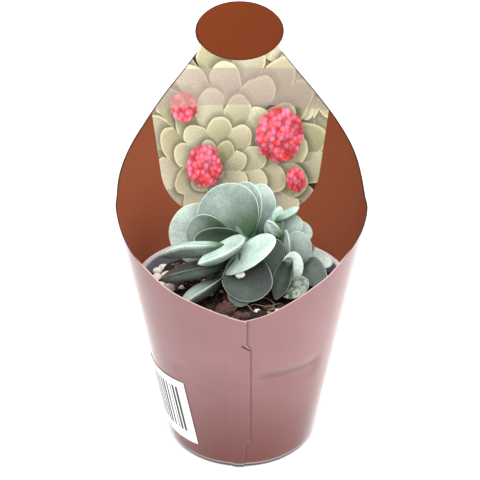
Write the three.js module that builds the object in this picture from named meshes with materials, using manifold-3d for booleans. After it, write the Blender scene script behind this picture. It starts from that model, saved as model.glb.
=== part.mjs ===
// A potted crassula: a plastic nursery pot filled with soil, a plant of three leafy
// heads, a printed card sleeve wrapped round the pot and a paper label on the sleeve.
// Millimetres, +Z up, the front towards -Y and the origin under the middle of the pot.
import * as THREE from 'three';
import { mergeVertices } from 'three/addons/utils/BufferGeometryUtils.js';
import Module from 'manifold-3d';

const wasm = await Module();
wasm.setup();

// The pot
const ROUND_SIDES = 48;
const POT_HEIGHT = 72;
const POT_BASE_RADIUS = 31.4;
const POT_RIM_RADIUS = 42.6;
const POT_WALL = 1.3;
const LIP_WIDTH = 1.7;
const LIP_TALL = 2;
const LIP_PROUD = 0.7;
const LIP_ROUND = 0.4;
const COLLAR_FOOT = 46;
const COLLAR_STEP = 1.2;
const COLLAR_RADIUS = 38.7;
const BODY_TOP_RADIUS = 36.8;
const FOOT_RING_WIDTH = 3.6;
const BASE_DISC_RADIUS = 12;
const BASE_RECESS = 2.4;
const RECESS_SLOPE = 1;
const DRAIN_COUNT = 8;
const DRAIN_RADIUS = 2.6;
const DRAIN_CIRCLE = 21;

// The soil
const FIT_GAP = 0.3;
const SOIL_LEVEL = 65;
const SOIL_SIDE_GAP = 0.35;
const SOIL_SWELL = 0.9;
const SOIL_EDGE_RISE = 1;
const LUMPS = { count: 40, least: 2.2, most: 4.8 };
const GRIT = { count: 26, least: 1.3, most: 2.4 };
const STEM_HOLE_GAP = 1;
const STEM_DEPTH = 16;

// The leaves
const LEAF_SIDES = 12;
const LEAF_RINGS = 6;
const LEAF_RIM = 1.4;
const LEAF_EGG = 0.12;
const LEAF_CUP = 0.1;
const LEAF_THICK = 4;
const LEAF_TIP = 0.15;
const DROOPING = { thick: 6, cup: 0, tip: 0.45 };
const NARROW = { thick: 5, cup: 0, tip: 0.4 };
const HEEL_SIDES = 5;
const STEM_SIDES = 8;

// The sleeve, a rolled cone of card: its radius at the foot and its rise outwards
const SLEEVE_FOOT = 1.2;
const SLEEVE_TOP = 175;
const SLEEVE_FOOT_RADIUS = 32.7;
const SLEEVE_FLARE = 0.1618;
const SLEEVE_CARD = 0.7;
const SLEEVE_TURN = 1.8;
const FLAP_STEP = 0.45;
const FLAP_SINK = 0.3;

// The label, a rectangle of paper stuck a little out of true
const LABEL_LONG = 46;
const LABEL_TALL = 31;
const LABEL_PAPER = 0.4;
const LABEL_GAP = 0.3;
const LABEL_TILT = 5;
const LABEL_CORNER = { heading: -33, height: 8.6 };

const UP = new THREE.Vector3(0, 0, 1);
const rad = THREE.MathUtils.degToRad;

// A closed geometry as a solid for joining and cutting
function solid(geometry) {
  const bare = geometry.clone();
  bare.deleteAttribute('normal');
  bare.deleteAttribute('uv');
  const merged = mergeVertices(bare, 1e-4);
  const vertProperties = Float32Array.from(merged.attributes.position.array);
  const triVerts = Uint32Array.from(merged.index.array);
  return new wasm.Manifold(new wasm.Mesh({ numProp: 3, vertProperties, triVerts }));
}

function geometryOf(body) {
  const mesh = body.getMesh();
  const geometry = new THREE.BufferGeometry();
  geometry.setAttribute('position', new THREE.BufferAttribute(mesh.vertProperties, 3));
  geometry.setIndex(new THREE.BufferAttribute(mesh.triVerts, 1));
  return geometry;
}

function fuse(bodies) {
  return bodies.reduce((whole, body) => whole.add(body));
}

function named(name, geometry, color, roughness) {
  geometry.computeVertexNormals();
  const material = new THREE.MeshStandardMaterial({ color, roughness, metalness: 0 });
  const mesh = new THREE.Mesh(geometry, material);
  mesh.name = name;
  return mesh;
}

// A small repeatable source of random numbers from 0 to 1
function seededRandom(seed) {
  let state = seed;
  return () => {
    state = (state * 1664525 + 1013904223) % 4294967296;
    return state / 4294967296;
  };
}

// A profile of [radius, height] points turned about the upright axis
function turnedProfile(points) {
  const profile = points.map(([radius, height]) => new THREE.Vector2(radius, height));
  return new THREE.LatheGeometry(profile, ROUND_SIDES).rotateX(Math.PI / 2);
}

// The pot: a foot ring and a base disc stand on the ground, with drain holes in the
// raised channel between them, and a wider collar runs round the top
const channelOuter = POT_BASE_RADIUS - FOOT_RING_WIDTH;
const floorTop = BASE_RECESS + POT_WALL;
const lipFoot = POT_HEIGHT - LIP_TALL;
const collarInner = COLLAR_RADIUS - POT_WALL;
const bodyInner = BODY_TOP_RADIUS - POT_WALL;
const mouthRadius = POT_RIM_RADIUS - LIP_WIDTH - LIP_ROUND;

function potWall() {
  return turnedProfile([
    [0, 0],
    [BASE_DISC_RADIUS, 0],
    [BASE_DISC_RADIUS + RECESS_SLOPE, BASE_RECESS],
    [channelOuter - RECESS_SLOPE, BASE_RECESS],
    [channelOuter, 0],
    [POT_BASE_RADIUS, 0],
    [BODY_TOP_RADIUS, COLLAR_FOOT - COLLAR_STEP],
    [COLLAR_RADIUS, COLLAR_FOOT],
    [POT_RIM_RADIUS - LIP_PROUD, lipFoot - LIP_PROUD],
    [POT_RIM_RADIUS, lipFoot],
    [POT_RIM_RADIUS, POT_HEIGHT - LIP_ROUND],
    [POT_RIM_RADIUS - LIP_ROUND, POT_HEIGHT],
    [POT_RIM_RADIUS - LIP_WIDTH, POT_HEIGHT],
    [mouthRadius, POT_HEIGHT - LIP_ROUND],
    [collarInner, COLLAR_FOOT + COLLAR_STEP],
    [bodyInner, COLLAR_FOOT],
    [POT_BASE_RADIUS - POT_WALL, floorTop],
    [0, floorTop],
  ]);
}

function pot() {
  let wall = solid(potWall());
  for (let i = 0; i < DRAIN_COUNT; i += 1) {
    const angle = (2 * Math.PI * i) / DRAIN_COUNT;
    const hole = new THREE.CylinderGeometry(DRAIN_RADIUS, DRAIN_RADIUS, 3 * BASE_RECESS, 10);
    hole.rotateX(Math.PI / 2);
    hole.translate(DRAIN_CIRCLE * Math.cos(angle), DRAIN_CIRCLE * Math.sin(angle), BASE_RECESS);
    wall = wall.subtract(solid(hole));
  }
  return named('pot', geometryOf(wall), 0x6e7080, 0.45);
}

// The plant's heads. A leaf starts at its foot and points to its heading (0 is the
// front, 90 the right) with a rise above level, and rolls about its own length.
const HEADS = [
  {
    name: 'head_main',
    stem: [[0, 1, 65], [0.5, -7.5, 86.5]],
    stemRadius: 3,
    leaves: [
      { foot: [6, 4, 84], heading: 158, rise: 68, roll: 10, long: 23.5, wide: 12, thick: 4.5 },
      { foot: [1.5, -3, 87], heading: -180, rise: 70, roll: -10, long: 23, wide: 13, egg: 0.25 },
      { foot: [1, -7, 88.5], heading: -129, rise: 50, roll: -48, long: 23.5, wide: 23.5, thick: 4.5 },
      { foot: [-2.5, -1, 87.5], heading: -94, rise: 3, roll: -77, long: 27, wide: 25, thick: 4.5 },
      { foot: [-4, -7, 89.5], heading: -93, rise: 8, roll: -71, long: 18, wide: 15 },
      { foot: [0.5, -9, 90], heading: -87, rise: -1, roll: -69, long: 19, wide: 8.5, thick: 3, cup: 0.3 },
      { foot: [-6.5, -15, 91], heading: -91, rise: -1, roll: 15, long: 26.5, wide: 14, ...DROOPING, bend: 4 },
      { foot: [0.5, -13, 93], heading: -59, rise: -20, roll: 2, long: 21, wide: 9, ...NARROW },
      { foot: [-7, -17, 79.5], heading: 84, rise: 37, roll: 18, long: 24, wide: 16, thick: 2.7, egg: 0.2 },
      { foot: [3, -14, 85.5], heading: -9, rise: -56, roll: -3, long: 18.5, wide: 19 },
      { foot: [0.5, -16, 79.5], heading: -12, rise: -57, roll: -9, long: 14, wide: 10.5, thick: 3 },
      { foot: [-5, -10, 81.5], heading: -86, rise: -7, roll: 10, long: 28, wide: 14, ...DROOPING, bend: 3.5 },
      { foot: [-5.5, -12, 78], heading: -52, rise: -13, roll: 20, long: 24, wide: 11.5, ...NARROW, bend: 2 },
      { foot: [5, -7, 82], heading: 80, rise: -14, roll: 40, long: 12, wide: 18, thick: 3, cup: 0.2 },
      { foot: [2, -2, 80], heading: 172, rise: 30, roll: 0, long: 20, wide: 17 },
      { foot: [0, -2, 78], heading: 208, rise: 12, roll: -5, long: 22, wide: 18 },
      { foot: [-1, -3, 82], heading: 234, rise: 34, roll: -10, long: 21, wide: 18 },
    ],
  },
  {
    name: 'head_right',
    stem: [[20, 2, 65], [16, -1, 89]],
    stemRadius: 2,
    leaves: [
      { foot: [12, -2, 85.5], heading: 162, rise: 60, roll: 13, long: 10.5, wide: 8, thick: 3 },
      { foot: [13.5, -1, 90], heading: 160, rise: 62, roll: 11, long: 10, wide: 5, thick: 3, tip: 0.3 },
      { foot: [15.5, -4, 88], heading: -99, rise: 49, roll: -96, long: 9, wide: 4, thick: 3, tip: 0.6 },
      { foot: [13, 0, 94], heading: 110, rise: 25, roll: 17, long: 11.5, wide: 4, thick: 3.5, tip: 0.4 },
      { foot: [19.5, 1, 85], heading: 174, rise: 63, roll: 0, long: 11, wide: 10, thick: 3.5 },
      { foot: [21, 2, 82], heading: 150, rise: 47, roll: 19, long: 12, wide: 11.5, thick: 3.5 },
      { foot: [20.5, -5, 75], heading: 158, rise: 64, roll: 11, long: 15.5, wide: 12.5 },
      { foot: [17, -5, 77.5], heading: -177, rise: 77, roll: -65, long: 13.5, wide: 6, thick: 3.5, tip: 0.5 },
      { foot: [27, 2, 79.5], heading: 100, rise: -16, roll: 24, long: 12, wide: 12, thick: 3.5, tip: 0.4 },
      { foot: [27, -6.5, 68], heading: 157, rise: 61, roll: -4, long: 12.5, wide: 13, thick: 3, egg: -0.1 },
      { foot: [18, 3, 80], heading: 185, rise: 30, roll: 0, long: 14, wide: 12 },
      { foot: [19, 3, 76], heading: 140, rise: 15, roll: 0, long: 15, wide: 13 },
    ],
  },
  {
    name: 'head_front_right',
    stem: [[19, -9, 65], [18, -14, 83]],
    stemRadius: 2,
    leaves: [
      { foot: [18.5, -15, 72], heading: 162, rise: 60, roll: 21, long: 14, wide: 8.5, thick: 3.5 },
      { foot: [18, -14, 83.5], heading: -41, rise: -61, roll: -26, long: 16.5, wide: 6, cup: 0.6, tip: 0.5 },
      { foot: [14.5, -17, 70.5], heading: 95, rise: 25, roll: 16, long: 12, wide: 11.5, thick: 5, cup: 0 },
    ],
  },
];

// One leaf: a ball pressed flat above and left full below, drawn out to an egg outline
// that narrows by its tip, with its sides lifted by its cup and its outer half lowered
// by its bend. It lies along +X and faces +Z.
function leafGeometry(shape) {
  const { long, wide, thick = LEAF_THICK, cup = LEAF_CUP } = shape;
  const { egg = LEAF_EGG, tip = LEAF_TIP, bend = 0 } = shape;
  const leaf = new THREE.SphereGeometry(1, LEAF_SIDES, LEAF_RINGS);
  const spots = leaf.attributes.position;
  for (let i = 0; i < spots.count; i += 1) {
    const along = spots.getX(i);
    const outer = Math.max(along, 0);
    const across = spots.getZ(i) * (1 + egg * along) * (1 - tip * outer ** 3);
    const height = spots.getY(i);
    const above = -0.5 * LEAF_RIM * (1 - Math.max(height, 0)) ** 2;
    const below = (thick - 0.5 * LEAF_RIM) * Math.max(-height, 0) ** 1.4;
    const lift = 0.5 * wide * cup * across ** 2 - bend * outer ** 2;
    spots.setXYZ(i, long * (0.5 + 0.5 * along), -0.5 * wide * across, lift + above - below);
  }
  return leaf;
}

// Where a leaf lies and how it is turned
function leafMatrix({ foot, heading, rise, roll }) {
  const out = new THREE.Vector3(Math.sin(rad(heading)), -Math.cos(rad(heading)), 0);
  const axis = out.clone().multiplyScalar(Math.cos(rad(rise))).addScaledVector(UP, Math.sin(rad(rise)));
  const level = UP.clone().multiplyScalar(Math.cos(rad(rise))).addScaledVector(out, -Math.sin(rad(rise)));
  const right = axis.clone().cross(level);
  const face = level.multiplyScalar(Math.cos(rad(roll))).addScaledVector(right, Math.sin(rad(roll)));
  const left = face.clone().cross(axis);
  return new THREE.Matrix4().makeBasis(axis, left, face).setPosition(...foot);
}

// A round bar from one point to another, tapering from the first radius to the second
function bar(start, end, startRadius, endRadius, sides) {
  const run = end.clone().sub(start);
  const geometry = new THREE.CylinderGeometry(endRadius, startRadius, run.length(), sides);
  const upright = new THREE.Vector3(0, 1, 0);
  geometry.applyQuaternion(new THREE.Quaternion().setFromUnitVectors(upright, run.normalize()));
  const middle = start.clone().add(end).multiplyScalar(0.5);
  return geometry.translate(middle.x, middle.y, middle.z);
}

function head({ name, stem, stemRadius, leaves }) {
  const [foot, crown] = stem.map((spot) => new THREE.Vector3(...spot));
  const root = foot.clone().addScaledVector(UP, -STEM_DEPTH);
  const axis = new THREE.Line3(foot, crown);
  const bodies = [
    solid(bar(root, foot.clone().addScaledVector(UP, 1), stemRadius, stemRadius, STEM_SIDES)),
    solid(bar(foot, crown, stemRadius, 0.8 * stemRadius, STEM_SIDES)),
  ];
  for (const leaf of leaves) {
    const matrix = leafMatrix(leaf);
    bodies.push(solid(leafGeometry(leaf).applyMatrix4(matrix)));
    const thick = leaf.thick ?? LEAF_THICK;
    const inside = new THREE.Vector3(0.3 * leaf.long, 0, -0.45 * thick).applyMatrix4(matrix);
    const start = axis.closestPointToPoint(inside, true, new THREE.Vector3());
    bodies.push(solid(bar(start, inside, 0.7 * stemRadius, 0.3 * thick, HEEL_SIDES)));
  }
  return named(name, geometryOf(fuse(bodies)), 0x9db8ac, 0.6);
}

// The soil: a plug that fits the pot, with an uneven top, lumps and grit
function soilPlug() {
  const side = SOIL_SIDE_GAP;
  const collarInside = COLLAR_FOOT + COLLAR_STEP;
  const flare = (mouthRadius - collarInner) / (POT_HEIGHT - LIP_ROUND - collarInside);
  const edge = collarInner - side + flare * (SOIL_LEVEL - collarInside);
  const rings = [0.84, 0.66, 0.48, 0.3, 0.12];
  const plug = turnedProfile([
    [0, floorTop + FIT_GAP],
    [POT_BASE_RADIUS - POT_WALL - side, floorTop + FIT_GAP],
    [bodyInner - side, COLLAR_FOOT],
    [collarInner - side, collarInside],
    [edge, SOIL_LEVEL],
    ...rings.map((share) => [share * edge, SOIL_LEVEL]),
    [0, SOIL_LEVEL],
  ]);
  const spots = plug.attributes.position;
  for (let i = 0; i < spots.count; i += 1) {
    const x = spots.getX(i);
    const y = spots.getY(i);
    if (spots.getZ(i) > SOIL_LEVEL - 0.1) {
      const broad = Math.sin(0.31 * x + 1.3) * Math.cos(0.27 * y - 0.6);
      const swell = broad + 0.5 * Math.sin(0.7 * x - 0.5 * y);
      const share = Math.hypot(x, y) / edge;
      const rise = SOIL_SWELL * swell * (1 - 0.5 * share) + SOIL_EDGE_RISE * share ** 2;
      spots.setZ(i, SOIL_LEVEL + rise);
    }
  }
  return { plug, edge };
}

// A rough stone: an icosahedron with its corners pushed in and out
function stone(radius, random) {
  const geometry = new THREE.IcosahedronGeometry(radius, 0);
  geometry.deleteAttribute('normal');
  geometry.deleteAttribute('uv');
  const merged = mergeVertices(geometry, 1e-4);
  const spots = merged.attributes.position;
  for (let i = 0; i < spots.count; i += 1) {
    const push = 0.8 + 0.35 * random();
    spots.setXYZ(i, push * spots.getX(i), push * spots.getY(i), 0.8 * push * spots.getZ(i));
  }
  return merged.rotateZ(2 * Math.PI * random());
}

// How low the leaves come near a spot on the soil
function lowestLeaf(x, y, reach) {
  let lowest = Infinity;
  for (const { leaves } of HEADS) {
    for (const leaf of leaves) {
      const spots = leafGeometry(leaf).applyMatrix4(leafMatrix(leaf)).attributes.position;
      for (let i = 0; i < spots.count; i += 1) {
        if (Math.hypot(spots.getX(i) - x, spots.getY(i) - y) < reach) {
          lowest = Math.min(lowest, spots.getZ(i));
        }
      }
    }
  }
  return lowest;
}

function nearStem(x, y, reach) {
  return HEADS.some(({ stem: [[stemX, stemY]], stemRadius }) => (
    Math.hypot(stemX - x, stemY - y) < reach + stemRadius + STEM_HOLE_GAP
  ));
}

function soil() {
  const random = seededRandom(11);
  const { plug, edge } = soilPlug();
  let ground = solid(plug);
  for (let i = 0; i < LUMPS.count + GRIT.count; i += 1) {
    const { least, most } = i < LUMPS.count ? LUMPS : GRIT;
    const radius = least + (most - least) * random();
    const reach = Math.sqrt(random()) * (edge - 1.25 * radius - 0.6);
    const angle = 2 * Math.PI * random();
    const x = reach * Math.cos(angle);
    const y = reach * Math.sin(angle);
    const top = SOIL_LEVEL + 0.75 * radius;
    if (!nearStem(x, y, 1.2 * radius) && lowestLeaf(x, y, radius + 2.5) > top + 1.2) {
      const lump = stone(radius, random).translate(x, y, top - 0.85 * radius);
      ground = ground.add(solid(lump));
    }
  }
  for (const { stem, stemRadius } of HEADS) {
    const [x, y, z] = stem[0];
    const radius = stemRadius + STEM_HOLE_GAP;
    const hole = new THREE.CylinderGeometry(radius, radius, 2 * STEM_DEPTH + 2, LEAF_SIDES);
    hole.rotateX(Math.PI / 2);
    ground = ground.subtract(solid(hole.translate(x, y, z)));
  }
  return named('soil', geometryOf(ground), 0x3a2a20, 0.95);
}

// The grain of pumice caught between two leaves of the main head
function caughtGrain() {
  const grain = new THREE.IcosahedronGeometry(1.9, 0);
  grain.deleteAttribute('normal');
  grain.deleteAttribute('uv');
  const merged = mergeVertices(grain, 1e-4).scale(1.2, 0.8, 0.75);
  const mesh = named('caught_grain', merged, 0xf0e4d0, 0.85);
  mesh.position.set(-0.5, -20.8, 79.2);
  return mesh;
}

// The sleeve's upper edge, from the notch at the front to the neck below the oval tag:
// its height, and how far it reaches round from the back on the left and on the right
const SLEEVE_EDGE = [
  [73.6, 180, 180], [75.1, 169.5, 170], [78.4, 157, 161], [82.5, 141.6, 150],
  [86, 133.2, 139.8], [94.5, 110, 120.5], [101, 96, 99], [103.8, 87.5, 87],
  [107.8, 81.2, 80.5], [116, 67.3, 69.3], [127, 50, 53], [137.5, 36.7, 38.5],
  [148, 24.8, 26], [155.8, 17.6, 17.6],
];
const TAG = { middle: 162.5, halfTall: 12.5, halfWide: 19.6 };

const sleeveRadius = (z) => SLEEVE_FOOT_RADIUS + SLEEVE_FLARE * (z - SLEEVE_FOOT);

// The height of the upper edge at an angle from the back, more than 0 on the left
function sleeveEdgeHeight(fromBack) {
  const side = fromBack > 0 ? 1 : 2;
  const reach = Math.abs(fromBack);
  const i = Math.max(SLEEVE_EDGE.findIndex((row) => row[side] <= reach), 1);
  const low = SLEEVE_EDGE[i - 1];
  const high = SLEEVE_EDGE[i];
  return low[0] + ((high[0] - low[0]) * (low[side] - reach)) / (low[side] - high[side]);
}

// How far the oval tag reaches round from the back at a height, in degrees
function tagReach(z) {
  const share = Math.min((z - TAG.middle) / TAG.halfTall, 1);
  const half = TAG.halfWide * Math.sqrt(1 - share ** 2);
  return Math.max(THREE.MathUtils.radToDeg(Math.asin(half / sleeveRadius(z))), 1.2);
}

// A bent sheet of card. Each column of outer points runs up from the foot; the rim
// lists [column, point] round the free edge, from the first column to the last.
function sheet(columns, rim, inward, closed) {
  const spots = [];
  const first = [];
  let count = 0;
  for (const column of columns) {
    first.push(count);
    count += column.length;
  }
  for (const side of [0, inward]) {
    for (const point of columns.flat()) {
      const squeeze = 1 - side / Math.hypot(point.x, point.y);
      spots.push(point.x * squeeze, point.y * squeeze, point.z);
    }
  }
  const faces = [];
  const quad = (a, b, c, d) => faces.push(a, b, c, a, c, d);
  for (let j = 0; j < columns.length - 1; j += 1) {
    const shared = Math.min(columns[j].length, columns[j + 1].length);
    for (let k = 0; k < shared - 1; k += 1) {
      const a = first[j] + k;
      const b = first[j + 1] + k;
      quad(a, b, b + 1, a + 1);
      quad(count + a, count + a + 1, count + b + 1, count + b);
    }
    quad(first[j], count + first[j], count + first[j + 1], first[j + 1]);
  }
  const edge = rim.map(([column, point]) => first[column] + point);
  for (let i = 0; i < edge.length - 1; i += 1) {
    quad(edge[i], edge[i + 1], count + edge[i + 1], count + edge[i]);
  }
  if (!closed) {
    const last = columns.length - 1;
    for (let k = 0; k < columns[0].length - 1; k += 1) {
      quad(k, k + 1, count + k + 1, count + k);
      const a = first[last] + k;
      quad(a, count + a, count + a + 1, a + 1);
    }
  }
  const geometry = new THREE.BufferGeometry();
  geometry.setAttribute('position', new THREE.Float32BufferAttribute(spots, 3));
  geometry.setIndex(faces);
  return geometry;
}

// A point on the cone: the angle is 0 at the front and 90 at the right
function onSleeve(angle, z, proud) {
  const radius = sleeveRadius(z) + proud;
  return new THREE.Vector3(radius * Math.sin(rad(angle)), -radius * Math.cos(rad(angle)), z);
}

function sleeveWrap() {
  const [neckHeight, neckReach] = SLEEVE_EDGE[SLEEVE_EDGE.length - 1];
  const tagHeights = [neckHeight, 159, 163, 168, 171.5, 174, SLEEVE_TOP];
  const sideAngles = [];
  for (let j = 0; j <= ROUND_SIDES / 2 - 2; j += 1) {
    sideAngles.push(180 - (j * (180 - neckReach)) / (ROUND_SIDES / 2 - 2));
  }
  const tagShares = [1, 0.5, 0, -0.5, -1];
  const edgePoint = (fromBack) => onSleeve(180 + fromBack, sleeveEdgeHeight(fromBack), 0);
  const side = (fromBack) => [onSleeve(180 + fromBack, SLEEVE_FOOT, 0), edgePoint(fromBack)];
  const tag = (share) => [
    onSleeve(180 + share * neckReach, SLEEVE_FOOT, 0),
    ...tagHeights.map((z) => onSleeve(180 + share * tagReach(z), z, 0)),
  ];
  const right = sideAngles.slice(0, -1).map((angle) => side(-angle));
  const left = sideAngles.slice(0, -1).map((angle) => side(angle)).reverse();
  const columns = [...right, ...tagShares.map((share) => tag(-share)), ...left];
  const firstTag = right.length;
  const lastTag = firstTag + tagShares.length - 1;
  const top = tagHeights.length;
  const rim = [];
  columns.forEach((column, j) => {
    if (j === firstTag) {
      tagHeights.forEach((z, k) => rim.push([j, k + 1]));
    } else if (j === lastTag) {
      tagHeights.forEach((z, k) => rim.push([j, top - k]));
    } else {
      rim.push([j, column.length - 1]);
    }
  });
  return sheet(columns, rim, SLEEVE_CARD, true);
}

// The outer end of the card lies over the inner end at the front seam, with a locking
// tab that reaches further round: [height, angle of its edge]
const FLAP_EDGE = [[SLEEVE_FOOT, 0], [13.4, 0.8], [14.8, 3.4], [60.6, 2], [62.6, 0.3], [73, 0.3]];
const FLAP_START = -9;

function sleeveFlap() {
  const flush = FLAP_EDGE.map(([z]) => onSleeve(FLAP_START, z, -0.05));
  const proud = FLAP_EDGE.map(([z]) => onSleeve(FLAP_START / 2, z, FLAP_STEP));
  const outer = FLAP_EDGE.map(([z, edge]) => onSleeve(edge, z, FLAP_STEP));
  const columns = [flush, proud, outer];
  const rim = columns.map((column, j) => [j, column.length - 1]);
  return sheet(columns, rim, FLAP_STEP + FLAP_SINK, false);
}

function sleeve() {
  const body = solid(sleeveWrap()).add(solid(sleeveFlap()));
  const mesh = named('sleeve', geometryOf(body), 0xb08a88, 0.3);
  mesh.rotation.z = rad(SLEEVE_TURN);
  return mesh;
}

function label() {
  const steps = 10;
  const tilt = rad(LABEL_TILT);
  const columns = [];
  for (let j = steps; j >= 0; j -= 1) {
    const along = (LABEL_LONG * j) / steps;
    columns.push([0, 0.5, 1].map((share) => {
      const tall = LABEL_TALL * share;
      const z = LABEL_CORNER.height + tall * Math.cos(tilt) - 0.5 * along * Math.sin(tilt);
      const round = along * Math.cos(tilt) + tall * Math.sin(tilt);
      const angle = LABEL_CORNER.heading - THREE.MathUtils.radToDeg(round / sleeveRadius(z));
      return onSleeve(angle, z, LABEL_GAP + LABEL_PAPER);
    }));
  }
  const rim = columns.map((column, j) => [j, column.length - 1]);
  return named('label', sheet(columns, rim, LABEL_PAPER, false), 0xf4f1ee, 0.6);
}

const plant = new THREE.Group();
plant.add(...HEADS.map(head), caughtGrain());

const wrapping = new THREE.Group();
wrapping.add(sleeve(), label());

const potted = new THREE.Group();
potted.add(pot(), soil(), plant, wrapping);

export default potted;
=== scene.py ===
"""A potted crassula in a printed card sleeve, laid out as a Blender add-on and run as a script.

Metres, +Z up, the front towards -Y and the origin under the middle of the pot. Sizes that
are quoted from the drawing are in millimetres and are turned to metres by MM.
"""
import math

import bmesh
import bpy
import numpy as np
from bpy.props import FloatProperty, FloatVectorProperty, IntProperty, PointerProperty
from bpy.types import Operator, Panel, PropertyGroup
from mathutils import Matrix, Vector


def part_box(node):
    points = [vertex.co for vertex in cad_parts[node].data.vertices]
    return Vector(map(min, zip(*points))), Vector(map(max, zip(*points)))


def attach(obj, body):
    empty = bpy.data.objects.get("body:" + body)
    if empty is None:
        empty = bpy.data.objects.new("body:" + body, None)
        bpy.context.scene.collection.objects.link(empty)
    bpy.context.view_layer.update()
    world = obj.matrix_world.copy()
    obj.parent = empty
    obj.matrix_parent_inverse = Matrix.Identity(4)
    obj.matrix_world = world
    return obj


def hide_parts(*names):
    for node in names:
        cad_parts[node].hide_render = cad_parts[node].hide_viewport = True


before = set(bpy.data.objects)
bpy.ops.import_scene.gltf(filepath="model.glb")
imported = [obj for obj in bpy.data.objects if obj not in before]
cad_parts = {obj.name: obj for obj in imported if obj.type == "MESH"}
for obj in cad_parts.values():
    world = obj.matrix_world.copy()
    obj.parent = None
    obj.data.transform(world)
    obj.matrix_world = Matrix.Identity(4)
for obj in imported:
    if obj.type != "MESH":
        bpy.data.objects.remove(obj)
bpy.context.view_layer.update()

bl_info = {
    "name": "Potted crassula",
    "version": (1, 0, 0),
    "blender": (4, 5, 0),
    "location": "3D View > Sidebar > Crassula",
    "description": "Builds a crassula in a nursery pot, wrapped in a printed card sleeve",
    "category": "Object",
}

MM = 0.001


def linear(code):
    """An sRGB hex colour as linear red, green, blue and alpha."""
    values = [int(code[i:i + 2], 16) / 255 for i in (0, 2, 4)]
    return (*(v / 12.92 if v <= 0.04045 else ((v + 0.055) / 1.055) ** 2.4 for v in values), 1)


# Trees of nodes

# What the word after a node's kind may set: the first of these that the node has
WAYS = ("operation", "interpolation_type", "data_type")


def feed(node, links):
    """Sets a node's inputs, by name or number, to values, hex colours or what other nodes give."""
    sockets = [socket for socket in node.inputs if socket.enabled]
    for key, source in links.items():
        if isinstance(key, int):
            socket = sockets[key]
        else:
            socket = next(socket for socket in sockets if socket.name == key)
        if isinstance(source, bpy.types.Node):
            source = next(out for out in source.outputs if out.enabled)
        if isinstance(source, bpy.types.NodeSocket):
            node.id_data.links.new(source, socket)
        elif isinstance(source, str) and socket.type == "RGBA":
            socket.default_value = linear(source)
        else:
            socket.default_value = source


def adder(tree):
    """The function that adds a node to a tree."""
    def add(kind, *inputs, **named):
        """Adds a node, with its inputs in order and then by name, and its settings.

        The kind is one for shading if it names no other, and a word after it says how it works.
        A name with a capital is an input, and any other name is a setting.
        """
        kind, _, way = kind.partition(" ")
        node = tree.nodes.new(kind if "Node" in kind else "ShaderNode" + kind)
        if way:
            setattr(node, next(setting for setting in WAYS if hasattr(node, setting)), way)
        links = dict(enumerate(inputs))
        for name, value in named.items():
            if name[0].isupper():
                links[name] = value
            else:
                setattr(node, name, value)
        feed(node, links)
        return node
    return add


def new_tree(name, inputs):
    """An empty tree for a shape, with named inputs, what adds to it, and what comes in."""
    tree = bpy.data.node_groups.new(name, "GeometryNodeTree")
    shape = ("Geometry", "Geometry")
    for way, sockets in (("INPUT", (shape, *inputs.items())), ("OUTPUT", (shape,))):
        for label, kind in sockets:
            tree.interface.new_socket(label, in_out=way, socket_type="NodeSocket" + kind)
    add = adder(tree)
    return tree, add, add("NodeGroupInput").outputs


def close_tree(add, geometry, material):
    """Ends a tree with smooth, real faces in one material."""
    smooth = add("GeometryNodeSetShadeSmooth", geometry)
    real = add("GeometryNodeRealizeInstances", smooth)
    add("NodeGroupOutput", add("GeometryNodeSetMaterial", Geometry=real, Material=material))


def put(name, data):
    """A new object in the scene."""
    thing = bpy.data.objects.new(name, data)
    bpy.context.scene.collection.objects.link(thing)
    return thing


def plain(maker, name):
    """A plain mesh object in place of one that modifiers still shape."""
    graph = bpy.context.evaluated_depsgraph_get()
    made = maker.evaluated_get(graph)
    mesh = bpy.data.meshes.new_from_object(made, preserve_all_data_layers=True, depsgraph=graph)
    bpy.data.objects.remove(maker)
    mesh.name = name
    return put(name, mesh)


def grown(name, sketch, tree, values, finish=None):
    """What a tree makes of a sketch, as a plain mesh object."""
    maker = put(name + "_sketch", sketch)
    modifier = maker.modifiers.new("shape", "NODES")
    modifier.node_group = tree
    for item in tree.interface.items_tree:
        if item.in_out == "INPUT" and item.name in values:
            modifier[item.identifier] = values[item.name]
    if finish:
        finish(maker)
    return plain(maker, name)


def mark(mesh, name, values):
    """Gives the points of a sketch an attribute, with a number or a vector for each."""
    kind, key = ("FLOAT_VECTOR", "vector") if np.ndim(values) > 1 else ("FLOAT", "value")
    mesh.attributes.new(name, kind, "POINT").data.foreach_set(key, np.ravel(values).tolist())


def settle(piece, slot, *nodes):
    """Seats a finished piece on the pot's body, in place of the plain nodes."""
    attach(piece, "root")
    if nodes:
        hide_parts(*nodes)


def merged(pieces, name):
    """Several plain mesh objects as one."""
    first, *rest = pieces
    mesh = bmesh.new()
    slots = []
    for piece in pieces:
        start = len(mesh.faces)
        mesh.from_mesh(piece.data)
        mesh.faces.ensure_lookup_table()
        for face in mesh.faces[start:]:
            face.material_index += len(slots)
        slots += list(piece.data.materials)
    first.data.materials.clear()
    for material in slots:
        first.data.materials.append(material)
    mesh.to_mesh(first.data)
    mesh.free()
    for piece in rest:
        bpy.data.objects.remove(piece)
    first.name = first.data.name = name
    return first


# Materials

def blank(name, sockets):
    """A material with its shader alone. The sockets hold what is the same all over it."""
    material = bpy.data.materials.new(name)
    material.use_nodes = True
    material.node_tree.nodes.clear()
    add = adder(material.node_tree)
    shader = add("BsdfPrincipled")
    feed(shader, sockets)
    add("OutputMaterial", Surface=shader)
    return material, add, shader


def laid(add, ground, colour, value, *span):
    """Lays a colour over a ground as a value runs over a span: fully at its end, or as it says."""
    return add("Mix RGBA", add("MapRange", value, *span), ground, colour)


def toned(add, ground, value, *span):
    """Darkens or lights a ground as a value runs over a span."""
    return add("VectorMath SCALE", ground, add("MapRange", value, *span))


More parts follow.
